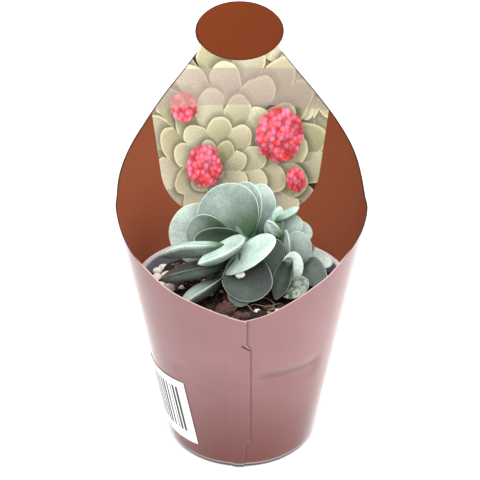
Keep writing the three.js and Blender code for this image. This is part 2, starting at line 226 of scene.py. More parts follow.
def between(add, value, least, most):
    """1 where a value is between two others, and 0 elsewhere."""
    over = add("Math GREATER_THAN", value, least)
    return add("Math MULTIPLY", over, add("Math LESS_THAN", value, most))


def hump(add, value, rises, falls, share=1):
    """A smooth rise from 0 to a share over one span of a value, and a fall to 0 over another."""
    rise = add("MapRange SMOOTHSTEP", value, *rises, 0, share)
    fall = add("MapRange SMOOTHSTEP", value, *falls, 1, 0)
    return add("Math MULTIPLY", rise, fall)


def distance(add, across, up):
    """How far a place on a flat print is from its middle."""
    spot = add("CombineXYZ", across, up)
    return add("VectorMath LENGTH", spot).outputs["Value"]


def pot_material():
    """Moulded polypropylene with recycled black in it: slate grey, satin, faintly specked."""
    material, add, shader = blank("moulded polypropylene", {"Roughness": 0.42, "IOR": 1.49})
    place = add("TexCoord").outputs["Object"]
    _, depth, height = add("SeparateXYZ", place).outputs
    cloud = add("TexNoise", place, Scale=1 / (9 * MM), Detail=3)
    tint = add("Mix RGBA", cloud, "757787", "8F91A1")
    # the rolled lip gets a painted highlight, and is darker at the very front
    shine = laid(add, "37312F", "DDD4D9", depth, -38 * MM, -34 * MM)
    highlight_and_age = laid(add, tint, shine, height, POT["height"] - 1.3 * MM, POT["height"] - 0.8 * MM)
    # painted shade on the foot, below the card, where it stands on the floor
    shaded_foot = laid(add, highlight_and_age, "2B2A2E", height, 2.6 * MM, 3.4 * MM, 1, 0)
    # dust and dried drips of soil on the inner wall
    specks = add("TexNoise", place, Scale=1 / (1.1 * MM), Detail=5)
    dirt = laid(add, shaded_foot, "4C4448", specks, 0.62, 0.7, 0, 0.5)
    grain = add("TexNoise", place, Scale=1 / (0.5 * MM), Detail=2)
    bump = add("Bump", Strength=0.1, Distance=0.1 * MM, Height=grain)
    feed(shader, {"Base Color": dirt, "Normal": bump})
    return material


def soil_material():
    """Moist peat and composted bark: dull black-brown, with red-brown and greyer bits."""
    material, add, shader = blank("moist peat and bark", {"Roughness": 0.9, "IOR": 1.4})
    place = add("TexCoord").outputs["Object"]
    shade = add("Attribute", attribute_name="shade").outputs["Fac"]
    dark = add("Mix RGBA", shade, "15100F", "40302B")
    bark = laid(add, dark, "6C4A3E", shade, 0.72, 0.86)
    mixed = laid(add, bark, "A08C86", shade, 0.95, 0.98)
    crumb = add("TexNoise", place, Scale=1 / (0.7 * MM), Detail=5)
    tinted = toned(add, mixed, crumb, 0.35, 0.7, 0.55, 1.45)
    bump = add("Bump", Strength=0.9, Distance=0.35 * MM, Height=crumb)
    feed(shader, {"Base Color": tinted, "Normal": bump})
    return material


def fibre_material():
    """Dead root fibre: pale straw, dull."""
    return blank("dry root fibre", {
        "Base Color": linear("B79E86"), "Roughness": 0.8, "IOR": 1.45,
    })[0]


def pumice_material():
    """Crushed pumice: cream, chalky and pitted, with an ochre stain here and there."""
    material, add, shader = blank("crushed pumice", {"Roughness": 0.85, "IOR": 1.5})
    place = add("TexCoord").outputs["Object"]
    stain = add("TexNoise", place, Scale=1 / (2.2 * MM), Detail=3)
    tint = laid(add, "FFFDF4", "EFD2A6", stain, 0.48, 0.7)
    pits = add("TexNoise", place, Scale=1 / (0.5 * MM), Detail=4)
    bump = add("Bump", Strength=0.6, Distance=0.2 * MM, Height=pits)
    feed(shader, {"Base Color": tint, "Normal": bump})
    return material


def leaf_material():
    """Fleshy leaves under a dull waxy bloom: grey-green, greener where they join the stem.

    The bloom is dusty and faintly streaked along the leaf, with tiny dark pores, and the
    wax is rubbed to a thin pale line along the margin.
    """
    material, add, shader = blank("waxy crassula leaf", {
        "Roughness": 0.55, "IOR": 1.42, "Specular IOR Level": 0.35, "Sheen Weight": 0.05,
        "Subsurface Weight": 0.15, "Subsurface Scale": 1.5 * MM,
        "Subsurface Radius": (0.5, 1, 0.45),
    })
    place = add("TexCoord").outputs["Object"]
    ball = add("Attribute", attribute_name="ball").outputs["Vector"]
    # painted light and shade: each whole leaf, and its belly, are made lighter or darker for how the
    # light falls on it
    tone, under, depth, green, warm, age = (
        add("Attribute", attribute_name=key).outputs["Fac"] for key in LEAF_LOOKS)
    along, across, up = add("SeparateXYZ", ball).outputs
    # broad clouds in the bloom
    cloud = add("TexNoise", place, Scale=1 / (10 * MM), Detail=3)
    bloom = laid(add, "8BA096", "B9C9BF", cloud, 0.3, 0.72)
    # the green of the leaf shows through where it joins the stem
    reach = add("Math MULTIPLY_ADD", green, 1.6, -0.94)
    rooted = add("MapRange SMOOTHSTEP", along, reach, -0.95)
    fresh = add("Mix RGBA", rooted, bloom, "35652F")
    # fine streaks that fan out from the base, then powder and flecks
    fan = add("Math ARCTAN2", across, add("Math ADD", along, 1.3))
    strand = add("CombineXYZ", add("Math MULTIPLY", fan, 26), along, tone)
    streak = add("TexNoise", strand, Scale=1.6, Detail=3)
    dust = add("TexNoise", place, Scale=1 / (0.55 * MM), Detail=2)
    fleck = add("TexNoise", place, Scale=1 / (1.8 * MM), Detail=3)
    # painted shade: a leaf in the thick of the head is darker towards its foot
    inner = add("MapRange SMOOTHSTEP", along, 0.75, -0.5, 0, depth)
    level = add("Math MULTIPLY", tone, add("Math SUBTRACT", 1, inner))
    # the bloom is uneven and lies thickest towards the tip, and the belly gets its own painted light and
    # shade
    for span in (
        (streak, 0.3, 0.7, 0.88, 1.12),
        (dust, 0.3, 0.7, 0.84, 1.14),
        (fleck, 0.3, 0.7, 0.92, 1.08),
        (along, -0.7, 0.9, 0.86, 1.14),
        (up, -0.05, -0.4, 1, under),
    ):
        level = add("Math MULTIPLY", level, add("MapRange", *span))
    waxed = add("VectorMath SCALE", fresh, level)
    # pores
    pore = add("TexVoronoi", place, Scale=1 / (1.5 * MM))
    dotted = laid(add, waxed, "4C6F5C", pore, 0.06, 0.16, 0.45, 0)
    # old leaves go blotchy
    blotch = add("TexNoise", place, Scale=1 / (1.7 * MM), Detail=4)
    aged = add("Math MULTIPLY", add("MapRange", blotch, 0.46, 0.6), age)
    highlight_and_age = add("Mix RGBA", aged, dotted, "BFC6AE")
    # the pale line along the margin, at the brow between the face and the edge
    gap = add("Math ABSOLUTE", add("Math SUBTRACT", up, 0.17))
    line = add("MapRange SMOOTHSTEP", gap, 0.02, 0.11, 0.68, 0)
    for span in ((under, 1, 3, 1, 0.4), (along, -0.75, -0.2)):
        line = add("Math MULTIPLY", line, add("MapRange", *span))
    rim = add("Mix RGBA", warm, "D9EBDF", "EBC9B4")
    edged = add("Mix RGBA", line, highlight_and_age, rim)
    bump = add("Bump", Strength=0.35, Distance=0.12 * MM, Height=dust)
    feed(shader, {"Base Color": edged, "Normal": bump})
    return material


def card_outside_material():
    """Coated board, printed a dusty mauve-brown under a gloss, with painted shade that darkens it
    towards the foot.
    """
    material, add, shader = blank("gloss coated board, outside", {
        "Roughness": 0.4, "IOR": 1.5, "Specular IOR Level": 0.2, "Coat Weight": 0.35,
        "Coat Roughness": 0.12, "Sheen Weight": 0.85, "Sheen Roughness": 0.26,
    })
    place = add("TexCoord").outputs["Object"]
    height = add("SeparateXYZ", place).outputs["Z"]
    # painted shade: the colour darkens towards the foot
    rise = add("MapRange SMOOTHSTEP", height, 0, 60 * MM)
    ink = add("Mix RGBA", rise, "5F2A22", "896364")
    scuff = add("TexNoise", place, Scale=1 / (14 * MM), Detail=4)
    tint = add("MapRange", scuff, 0.3, 0.7, 0.95, 1.05)
    # painted shadows at the seam and the slot, and painted shade in the dents
    for shade in (seam_shade(add, height), slot_shade(add, place), dent_shade(add)):
        tint = add("Math MULTIPLY", tint, shade)
    tinted = add("VectorMath SCALE", ink, tint)
    # the print is scuffed off along the foot, and the very foot gets a painted shadow where the card
    # meets the shelf
    pale = laid(add, tinted, "A69B99", height, 2 * MM, 2.6 * MM, 0.6, 0)
    shadowed_foot = laid(add, pale, "1E1A1B", height, 1.3 * MM, 1.6 * MM, 1, 0)
    feed(shader, {"Base Color": shadowed_foot})
    return material


def seam_shade(add, height):
    """The dark line that the outer end of the card throws on the inner end beside it."""
    round_ = add("SeparateXYZ", add("UVMap", uv_map="print")).outputs["X"]
    radius = SLEEVE["picture_radius"]
    edge = -math.pi * radius
    for (low, start), (high, end) in zip(FLAP_EDGE, FLAP_EDGE[1:]):
        step = add("MapRange", height, low * MM, high * MM, 0, math.radians(end - start) * radius)
        edge = add("Math ADD", edge, step)
    first = math.radians(FLAP_EDGE[0][1]) * radius
    past = add("Math SUBTRACT", round_, edge)
    return add("MapRange", past, first, first + 1.3 * MM, 0.45, 1)


def dent_window(add, angle, start, end, share):
    """How much of a dent there is at an angle: none outside its two ends."""
    start, end = (math.radians(value - 360 * (value > 0)) for value in (start, end))
    return hump(add, angle, (start, start + DENT_EASE), (end - DENT_EASE, end), share)


def dent_shade(add):
    """The painted shade of a soft dark crescent where the collar's foot presses the card in."""
    round_, height, _ = add("SeparateXYZ", add("UVMap", uv_map="print")).outputs
    angle = add("Math MULTIPLY_ADD", round_, 1 / SLEEVE["picture_radius"], -math.pi)
    darkest = POT["collar_foot"] + 0.6 * MM
    band = hump(add, height, (darkest - 1.8 * MM, darkest), (darkest, darkest + 3.4 * MM), 0.3)
    shade = 1
    for dent in DENTS:
        dark = add("Math MULTIPLY", dent_window(add, angle, *dent), band)
        shade = add("Math SUBTRACT", shade, dark)
    return shade


def slot_shade(add, place):
    """The painted shadow of the slanting slot above the locking tab: black inside, clear elsewhere."""
    x, y, z = add("SeparateXYZ", place).outputs
    line = add("Math MULTIPLY_ADD", x, SLOT["slope"], z)
    gap = add("Math ABSOLUTE", add("Math SUBTRACT", line, SLOT["height"]))
    away = add("Math ABSOLUTE", add("Math SUBTRACT", x, SLOT["middle"]))
    behind = add("Math GREATER_THAN", y, 0)
    end, soft = SLOT["half_long"], 0.2 * MM
    beyond = add("MapRange", add("Math ADD", away, behind), end - soft, end + soft)
    clear = add("MapRange", gap, 0.25 * MM, 0.6 * MM)
    return add("MapRange", add("Math MAXIMUM", beyond, clear), 0, 1, 0.12, 1)


def card_inside_material():
    """The same board inside, printed chestnut brown, with a garden picture on the back."""
    material, add, shader = blank("gloss coated board, inside", {
        "Roughness": 0.6, "IOR": 1.5, "Specular IOR Level": 0.08,
    })
    print_place = add("UVMap", uv_map="print")
    round_, height, _ = add("SeparateXYZ", print_place).outputs
    # painted light and shade: the brown is lighter low down and darker towards the top
    brown = laid(add, "955238", "69341B", height, 80 * MM, 155 * MM)
    picture = garden_print(add, print_place)
    oval = oval_reach(add, round_, height)
    clear = add("Math GREATER_THAN", oval, 1)
    framed = add("Math MULTIPLY", picture_arch(add, round_, height), clear)
    inked = add("Mix RGBA", framed, brown, picture)
    badge = add("Mix RGBA", clear, "6C3014", inked)
    # painted shade: a thin dark margin along the upper edge; and a thin dark line round the oval
    drop = add("Attribute", attribute_name="edge").outputs["Fac"]
    edge_shade = add("MapRange", drop, 0.3 * MM, 0.9 * MM, 0.85, 0)
    rim = add("MapRange", oval, 0.95, 0.99, 0, 0.8)
    round_oval = add("Math MULTIPLY", rim, add("Math SUBTRACT", 1, clear))
    margin = add("Math MAXIMUM", edge_shade, round_oval)
    edged = add("Mix RGBA", margin, badge, "3A1E16")
    feed(shader, {"Base Color": edged})
    return material


def oval_reach(add, round_, height):
    """How far out a place is on the tag: 0 in the middle of the oval, 1 on its edge."""
    rise = add("Math SUBTRACT", height, TAG["middle"])
    tall = add("Math DIVIDE", rise, TAG["half_tall"])
    return distance(add, add("Math DIVIDE", round_, TAG["half_round"]), tall)


def picture_arch(add, round_, height):
    """Where the picture lies on the back panel: between upright sides, with a round foot."""
    down = add("Math MAXIMUM", add("Math SUBTRACT", PICTURE["foot_top"], height), 0)
    drop = add("Math DIVIDE", down, PICTURE["foot_tall"])
    far = distance(add, add("Math DIVIDE", round_, PICTURE["half_width"]), drop)
    return add("Math LESS_THAN", far, 1)


def from_middle(add, place, middle):
    """A place on the print from the middle of what is printed there, and how far it is."""
    moved = add("VectorMath SUBTRACT", place, (middle[0] * MM, middle[1] * MM, 0))
    return moved, add("VectorMath LENGTH", moved).outputs["Value"]


def rosette(add, place, ground, middle, rows):
    """Prints a rosette of leaves over the ground: rows of leaves from the outermost in."""
    moved, away = from_middle(add, place, middle)
    x, y, _ = add("SeparateXYZ", moved).outputs
    angle = add("Math ARCTAN2", x, y)
    for number, (reach, count, long, wide) in enumerate(rows):
        # which leaf of the row this is, and the place on it: along, and across
        step = 2 * math.pi / count
        share = add("Math MULTIPLY_ADD", angle, 1 / step, 0.37 * number)
        whole = add("Math ROUND", share)
        draw = add("TexWhiteNoise", (number, *middle), whole, noise_dimensions="4D")
        luck, turn, _ = add("SeparateXYZ", draw.outputs["Color"]).outputs
        off = add("Math SUBTRACT", share, whole)
        leant = add("Math ADD", off, add("Math MULTIPLY_ADD", turn, 0.3, -0.15))
        arc = add("Math MULTIPLY", leant, away)
        across = add("Math MULTIPLY", arc, step / (wide * MM))
        push = add("Math MULTIPLY_ADD", luck, 0.3, 1 - 2 * reach / long - 0.15)
        along = add("Math MULTIPLY_ADD", away, 2 / (long * MM), push)
        far = distance(add, along, across)
        # its shadow on what is below, its shaded face and its pale margin
        below = toned(add, ground, far, 0.95, 1.35, 0.4, 1)
        face = add("Mix RGBA", luck, "D3CCB0", "A5A07C")
        slope = add("MapRange", along, -0.9, 0.9, 0.42, 1.12)
        tilt = add("Math MULTIPLY_ADD", across, 0.16, slope)
        shaded = add("VectorMath SCALE", face, tilt)
        edged = laid(add, shaded, "EADDB4", far, 0.86, 0.97, 0, 0.55)
        ground = laid(add, below, edged, far, 1, 1.03, 1, 0)
    return ground


def bloom(add, place, ground, ragged, middle, radius):
    """Prints a dome of small red-pink florets over the ground."""
    moved, away = from_middle(add, place, middle)
    rough = add("Math MULTIPLY_ADD", ragged, 4 * MM, away)
    florets = add("TexVoronoi", place, Scale=1 / (2.3 * MM))
    hue = add("SeparateXYZ", florets.outputs["Color"]).outputs["X"]
    red = add("Mix RGBA", hue, "F8433A", "F983A0")
    petal = toned(add, red, florets.outputs["Distance"], 0.15, 0.75, 1.35, 0.45)
    # the dome is lit from the upper right, and throws a shadow on what is below
    slope = (0.35 / (radius * MM), 0.55 / (radius * MM), 0)
    light = add("VectorMath DOT_PRODUCT", moved, slope).outputs["Value"]
    domed = toned(add, petal, light, -0.8, 0.4, 0.7, 1.15)
    below = toned(add, ground, rough, (radius + 1) * MM, (radius + 6) * MM, 0.4, 1)
    return laid(add, below, domed, rough, (radius + 1.8) * MM, (radius + 2.3) * MM, 1, 0)


def garden_print(add, place):
    """A made-up garden picture: two rosettes of olive-beige leaves with red-pink blooms."""
    warp = add("TexNoise", place, Scale=1 / (16 * MM))
    shift = add("VectorMath SCALE", warp.outputs["Color"], 5 * MM)
    moved = add("VectorMath ADD", place, shift)
    ground = add("Mix RGBA", warp, "2E1F26", "6B4A4A")
    for middle, rows in ROSETTES:
        ground = rosette(add, moved, ground, middle, rows)
    ragged = add("TexNoise", place, Scale=1 / (3 * MM))
    for middle, radius in BLOOMS:
        ground = bloom(add, place, ground, ragged, middle, radius)
    # a see-through band across the top of the picture
    height = add("SeparateXYZ", place).outputs["Y"]
    veil = add("Math MULTIPLY", between(add, height, BAND["foot"], BAND["top"]), BAND["share"])
    veiled = add("Mix RGBA", veil, ground, "A3908A")
    screen = add("TexNoise", place, Scale=1 / (0.8 * MM), Detail=2)
    return toned(add, veiled, screen, 0.3, 0.7, 0.9, 1.1)


def card_edge_material():
    """The cut edge of the board: pale pulp in front, darkened by painted shade along the back limbs and
    at the foot.
    """
    material, add, shader = blank("cut edge of the board", {"Roughness": 0.8})
    place = add("TexCoord").outputs["Object"]
    _, depth, height = add("SeparateXYZ", place).outputs
    # painted shade: the edge is dark along the back limbs and at the foot
    tint = laid(add, "C9AAA5", "3A1E16", depth, -31 * MM, -26 * MM)
    feed(shader, {"Base Color": toned(add, tint, height, 2 * MM, 4 * MM, 0.1, 1)})
    return material


def label_material():
    """Smooth white label paper with black printed bars of several widths."""
    material, add, shader = blank("printed label paper", {
        "Roughness": 0.5, "IOR": 1.45, "Coat Weight": 0.1,
    })
    print_place = add("UVMap", uv_map="print")
    along, up, _ = add("SeparateXYZ", print_place).outputs
    column = add("Math DIVIDE", along, LABEL["pitch"])
    number = add("Math FLOOR", column)
    share = add("Math FRACT", column)
    draw = add("TexWhiteNoise", number, noise_dimensions="1D")
    width = add("MapRange", draw, 0, 1, 0.3, 0.75)
    dark = add("Math LESS_THAN", share, width)
    for span in (
        (along, LABEL["margin"], LABEL["long"] - LABEL["margin"]),
        (up, LABEL["bars_foot"], LABEL["bars_top"]),
    ):
        dark = add("Math MULTIPLY", dark, between(add, *span))
    ink = add("Mix RGBA", dark, "F7F5F3", "2A2A2C")
    feed(shader, {"Base Color": ink})
    return material


# The pot

POT = {
    "height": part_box("pot")[1].z,
    "rim_radius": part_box("pot")[1].x,
    "base_radius": 31.4 * MM,
    "wall": 1.3 * MM,
    "lip_width": 1.7 * MM,
    "collar_foot": 46 * MM,
    "collar_radius": 38.7 * MM,
    "body_top_radius": 36.8 * MM,
    "recess": 2.4 * MM,
    "floor_top": 3.7 * MM,
    "mouth_radius": 40.5 * MM,
    "disc_radius": 12 * MM,
    "foot_ring": 3.6 * MM,
}


def rounded(corners, radius, steps=5):
    """An outline with its corners rounded, and held straight on either side of each."""
    points = [corners[0]]
    for before, corner, after in zip(corners, corners[1:], corners[2:]):
        corner = np.array(corner)
        arms = [np.array(end) - corner for end in (before, after)]
        reach = min(radius, *(0.4 * np.linalg.norm(arm) for arm in arms))
        back, on = (arm / np.linalg.norm(arm) for arm in arms)
        points.append(corner + 1.2 * reach * back)
        for t in np.linspace(0, 1, steps):
            bow = (1 - t) ** 2 * back + t ** 2 * on
            points.append(corner + reach * bow)
        points.append(corner + 1.2 * reach * on)
    points.append(corners[-1])
    return [(float(r), float(z)) for r, z in points]


def turned(name, outline, sides):
    """A closed mesh turned about the upright axis from an outline that ends on it."""
    made = bmesh.new()
    angles = [2 * math.pi * i / sides for i in range(sides)]
    rings = []
    for radius, height in outline:
        around = angles if radius > 1e-9 else [0]
        rings.append([
            made.verts.new((radius * math.cos(a), radius * math.sin(a), height)) for a in around
        ])
    for low, high in zip(rings, rings[1:]):
        for i in range(sides):
            j = (i + 1) % sides
            corners = [low[i % len(low)], low[j % len(low)], high[j % len(high)], high[i % len(high)]]
            made.faces.new(list(dict.fromkeys(corners)))
    bmesh.ops.recalc_face_normals(made, faces=made.faces)
    mesh = bpy.data.meshes.new(name)
    made.to_mesh(mesh)
    made.free()
    for face in mesh.polygons:
        face.use_smooth = True
    return mesh


def pot_outline(settings):
    """The pot's outline: foot ring and base disc, body, collar and rolled lip."""
    wall, lip = POT["wall"], POT["lip_width"]
    height, rim = POT["height"], POT["rim_radius"]
    channel = POT["base_radius"] - POT["foot_ring"]
    corners = [
        (0, 0),
        (POT["disc_radius"], 0),
        (POT["disc_radius"] + MM, POT["recess"]),
        (channel - MM, POT["recess"]),
        (channel, 0),
        (POT["base_radius"], 0),
        (POT["body_top_radius"], POT["collar_foot"] - 1.2 * MM),
        (POT["collar_radius"], POT["collar_foot"]),
        (rim - 0.7 * MM, height - 2.7 * MM),
        (rim, height - 2 * MM),
        (rim, height - 0.1 * MM),
        (rim - 0.5 * lip, height),
        (rim - lip, height - 0.1 * MM),
        (POT["mouth_radius"], height - 0.9 * MM),
        (POT["collar_radius"] - wall, POT["collar_foot"] + 1.2 * MM),
        (POT["body_top_radius"] - wall, POT["collar_foot"]),
        (POT["base_radius"] - wall, POT["floor_top"]),
        (0, POT["floor_top"]),
    ]
    return rounded(corners, settings.corner)


class PotSettings(PropertyGroup):
    """How the pot is made."""

    sides: IntProperty(
        name="Sides", description="Number of sides round the pot", default=128, min=24)
    corner: FloatProperty(
        name="Corner", description="Radius of the pot's moulded corners",
        default=0.5 * MM, unit="LENGTH")
    drain_count: IntProperty(
        name="Drain holes", description="Number of holes in the base", default=8, min=1)
    drain_radius: FloatProperty(
        name="Drain hole radius", description="Radius of each hole in the base",
        default=2.6 * MM, unit="LENGTH")
    drain_circle: FloatProperty(
        name="Drain circle", description="Radius of the circle that the holes lie on",
        default=21 * MM, unit="LENGTH")


class CRASSULA_OT_pot(Operator):
    """Makes the moulded nursery pot"""

    bl_idname = "crassula.pot"
    bl_label = "Pot"

    def execute(self, context):
        settings = context.scene.crassula_pot
        maker = put("pot_sketch", turned("pot_sketch", pot_outline(settings), settings.sides))
        pins = bmesh.new()
        for i in range(settings.drain_count):
            angle = 2 * math.pi * i / settings.drain_count
            pin = bmesh.ops.create_cone(
                pins, cap_ends=True, segments=24, radius1=settings.drain_radius,
                radius2=settings.drain_radius, depth=10 * MM)
            place = settings.drain_circle * Vector((math.cos(angle), math.sin(angle), 0))
            bmesh.ops.translate(pins, verts=pin["verts"], vec=place + Vector((0, 0, POT["recess"])))
        pin_mesh = bpy.data.meshes.new("drain_pins")
        pins.to_mesh(pin_mesh)
        pins.free()
        drill = put("drain_pins", pin_mesh)
        cut = maker.modifiers.new("drain", "BOOLEAN")
        cut.object = drill
        cut.operation = "DIFFERENCE"
        cut.solver = "EXACT"
        pot = plain(maker, "nursery_pot")
        bpy.data.objects.remove(drill)
        pot.data.materials.clear()
        pot.data.materials.append(pot_material())
        settle(pot, "pot_plastic", "pot")
        return {"FINISHED"}


# The leaves

def leaf(foot, heading, rise, roll, long, wide, **traits):
    """One leaf: where its foot is, which way it points and rolls, its size and its traits."""
    place = {"foot": foot, "heading": heading, "rise": rise, "roll": roll}
    shape = {"thick": 4, "cup": 0.1, "egg": 0.12, "tip": 0.15, "dish": 0.25, "bend": 0}
    looks = {"tone": 1, "under": 0.65, "depth": 0, "green": 0.6, "warm": 0, "age": 0}
    return {**place, "long": long, "wide": wide, **shape, **looks, **traits}


DROOPING = {"thick": 6, "cup": 0, "tip": 0.45}
NARROW = {"thick": 5, "cup": 0, "tip": 0.4}
# Each head has a stem, a stem radius and its leaves, in millimetres and degrees. A leaf's
# heading is 0 at the front and 90 at the right, and its rise is above level.
HEADS = {
    "head_main": (
        ((0, 1, 65), (0.5, -7.5, 86.5)), 3,
        (
            leaf((5, 4, 84), 160, 66, 10, 23.5, 14.5, thick=4.5, tone=1.03, warm=0.4),
            leaf((1.5, -3, 87), -180, 70, -10, 23, 13, egg=0.25, tone=0.72),
            leaf((1, -7, 88.5), -129, 50, -48, 24, 24.5, thick=4.5, tone=0.61, green=0.85,
                 dish=0.5, depth=0.1),
            leaf((-2.5, -1, 87.5), -94, 3, -77, 27, 25, thick=4.5, tone=1.15, warm=0.9),
            leaf((-5.5, -7, 89.6), -93, 8, -71, 16.5, 15, tone=0.46, green=1.2, depth=0.2),
            leaf((0.5, -9, 90), -87, -1, -69, 19, 8.5, thick=3, cup=0.3, tone=0.22, green=2.6),
            leaf((-6.5, -15, 90.6), -91, -1, 15, 24.5, 13, bend=4, tone=1.35, under=0.27, green=0.4,
                 thick=6, cup=0, tip=0.55),
            leaf((0.5, -13, 93), -59, -20, 2, 21, 9.5, tone=1.3, under=0.5, egg=-0.3, green=0, **NARROW),
            leaf((-7, -17, 79.5), 84, 37, 18, 24, 16, thick=2.7, egg=0.2, tone=1.45, green=0),
            leaf((3, -14, 85.5), -9, -56, -3, 18.5, 19, tone=0.18, green=0.5, depth=0.3),
            leaf((0.5, -16, 79.5), -12, -57, -9, 14, 10.5, thick=3, tone=0.42),
            leaf((-5, -10, 81.5), -86, -7, 10, 28, 14, bend=3.5, tone=0.22, under=3.2, depth=0.3,
                 **DROOPING),
            leaf((-5.5, -12, 78), -52, -13, 20, 24, 11.5, bend=2, tone=1.1, under=0.3, depth=1, green=0,
                 **NARROW),
            leaf((5, -7, 82), 80, -14, 40, 12, 18, thick=3, cup=0.2, tone=0.21, green=1.5),
            leaf((2, -2, 80), 172, 30, 0, 20, 17, tone=0.6),
            leaf((0, -2, 78), 208, 12, -5, 22, 18, tone=0.6),
            leaf((-1, -3, 82), 234, 34, -10, 21, 18, tone=0.7),
        ),
    ),
    "head_right": (
        ((20, 2, 65), (16, -1, 89)), 2,
        (
            leaf((12, -2, 85.5), 162, 60, 13, 10.5, 8, thick=3, tone=1.1),
            leaf((13.5, -1, 90), 160, 62, 11, 10, 5, thick=3, tone=1.2, tip=0.3),
            leaf((15.5, -4, 88), -99, 49, -96, 9, 4, thick=3, tip=0.6, tone=1.3),
            leaf((13, 0, 94), 110, 25, 17, 11.5, 4, thick=3.5, tip=0.4, tone=1.3, warm=1),
            leaf((19.5, 1, 85), 174, 63, 0, 11, 10, thick=3.5, tone=1, warm=0.3),
            leaf((21, 2, 82), 150, 47, 19, 12, 11.5, thick=3.5, tone=0.84, warm=0.5),
            leaf((20.5, -5, 75), 158, 64, 11, 15.5, 12.5, tone=0.68),
            leaf((17, -5, 77.5), -177, 77, -65, 13.5, 7.5, thick=3.5, tip=0.5, tone=1.1),
            leaf((27, 2, 77.8), 98, -16, 24, 11.5, 9.5, thick=3.2, tip=0.5, tone=1.6, green=0),
            leaf((27, -6.5, 68), 157, 61, -4, 12.5, 13, thick=3, egg=-0.35, tone=0.42, green=0),
            leaf((18, 3, 80), 185, 30, 0, 14, 12, tone=0.5),
            leaf((19, 3, 76), 140, 15, 0, 15, 13, tone=0.5),
        ),
    ),
    "head_front_right": (
        ((19, -9, 65), (18, -14, 83)), 2,
        (
            leaf((18.5, -15, 72), 162, 60, 21, 14, 8.5, thick=3.5, tone=1.5),
            leaf((18, -14, 83.5), -41, -61, -26, 16.5, 7, cup=0.6, tip=0.5, tone=0.18),
            leaf((14.5, -17, 70.5), 95, 25, 16, 12, 11.5, thick=5, cup=0, age=0.7, tone=0.4),
        ),
    ),
}
STEM_DEPTH = 16
STEM_TAPER = 0.8
# A leaf's stalk, in shares of the leaf and of the stem: how far in and down it ends, and how
# thick it starts and ends
STALK = {"in": 0.3, "down": 0.45, "start": 0.7, "end": 0.3}
LEAF_SIZES = ("long", "wide", "thick", "dish", "bend")
LEAF_NUMBERS = (*LEAF_SIZES, "cup", "egg", "tip")
# Of a leaf's looks, the first three are painted light and shade: how light the whole leaf is, how light
# its belly is, and how dark its foot is in the thick of the head
LEAF_LOOKS = ("tone", "under", "depth", "green", "warm", "age")
STEM_LOOKS = {"tone": 0.5, "under": 1, "green": 1}


def leaf_frame(one):
    """A leaf's foot and its three directions: along it, to its left and out of its face."""
    heading, rise, roll = (math.radians(one[key]) for key in ("heading", "rise", "roll"))
    out = Vector((math.sin(heading), -math.cos(heading), 0))
    axis = math.cos(rise) * out + math.sin(rise) * Vector((0, 0, 1))
    level = math.cos(rise) * Vector((0, 0, 1)) - math.sin(rise) * out
    face = math.cos(roll) * level + math.sin(roll) * axis.cross(level)
    return MM * Vector(one["foot"]), axis, face.cross(axis), face


def head_sketch(name):
    """A head's sketch: a loose point for each leaf, and edges for the stem and leaf stalks."""
    (foot, crown), girth, leaves = HEADS[name]
    foot, crown, girth = MM * Vector(foot), MM * Vector(crown), girth * MM
    frames = [leaf_frame(one) for one in leaves]
    points = [base for base, *_ in frames]
    girths = [0.0] * len(points)
    edges = []

    def bar(start, end, first, last):
        edges.append((len(points), len(points) + 1))
        points.extend((start, end))
        girths.extend((first, last))

    bar(foot - Vector((0, 0, STEM_DEPTH * MM)), foot + Vector((0, 0, MM)), girth, girth)
    bar(foot, crown, girth, STEM_TAPER * girth)
    for one, (base, axis, _, face) in zip(leaves, frames):
        long, thick = one["long"] * MM, one["thick"] * MM
        inside = base + STALK["in"] * long * axis - STALK["down"] * thick * face
        share = (inside - foot).dot(crown - foot) / (crown - foot).length_squared
        start = foot.lerp(crown, min(max(share, 0), 1))
        bar(start, inside, STALK["start"] * girth, STALK["end"] * thick)
    mesh = bpy.data.meshes.new(name)
    mesh.from_pydata(points, edges, [])
    bare = len(points) - len(leaves)
    mark(mesh, "girth", girths)
    mark(mesh, "is_leaf", [1] * len(leaves) + [0] * bare)
    for key in LEAF_NUMBERS:
        scale = MM if key in LEAF_SIZES else 1
        mark(mesh, key, [scale * one[key] for one in leaves] + [0] * bare)
    for key in LEAF_LOOKS:
        mark(mesh, key, [one[key] for one in leaves] + [STEM_LOOKS.get(key, 0)] * bare)
    mark(mesh, "number", range(len(points)))
    for key, spots in zip(("foot", "axis", "left", "face"), zip(*frames)):
        mark(mesh, key, [*spots] + [(0, 0, 0)] * bare)
    return mesh


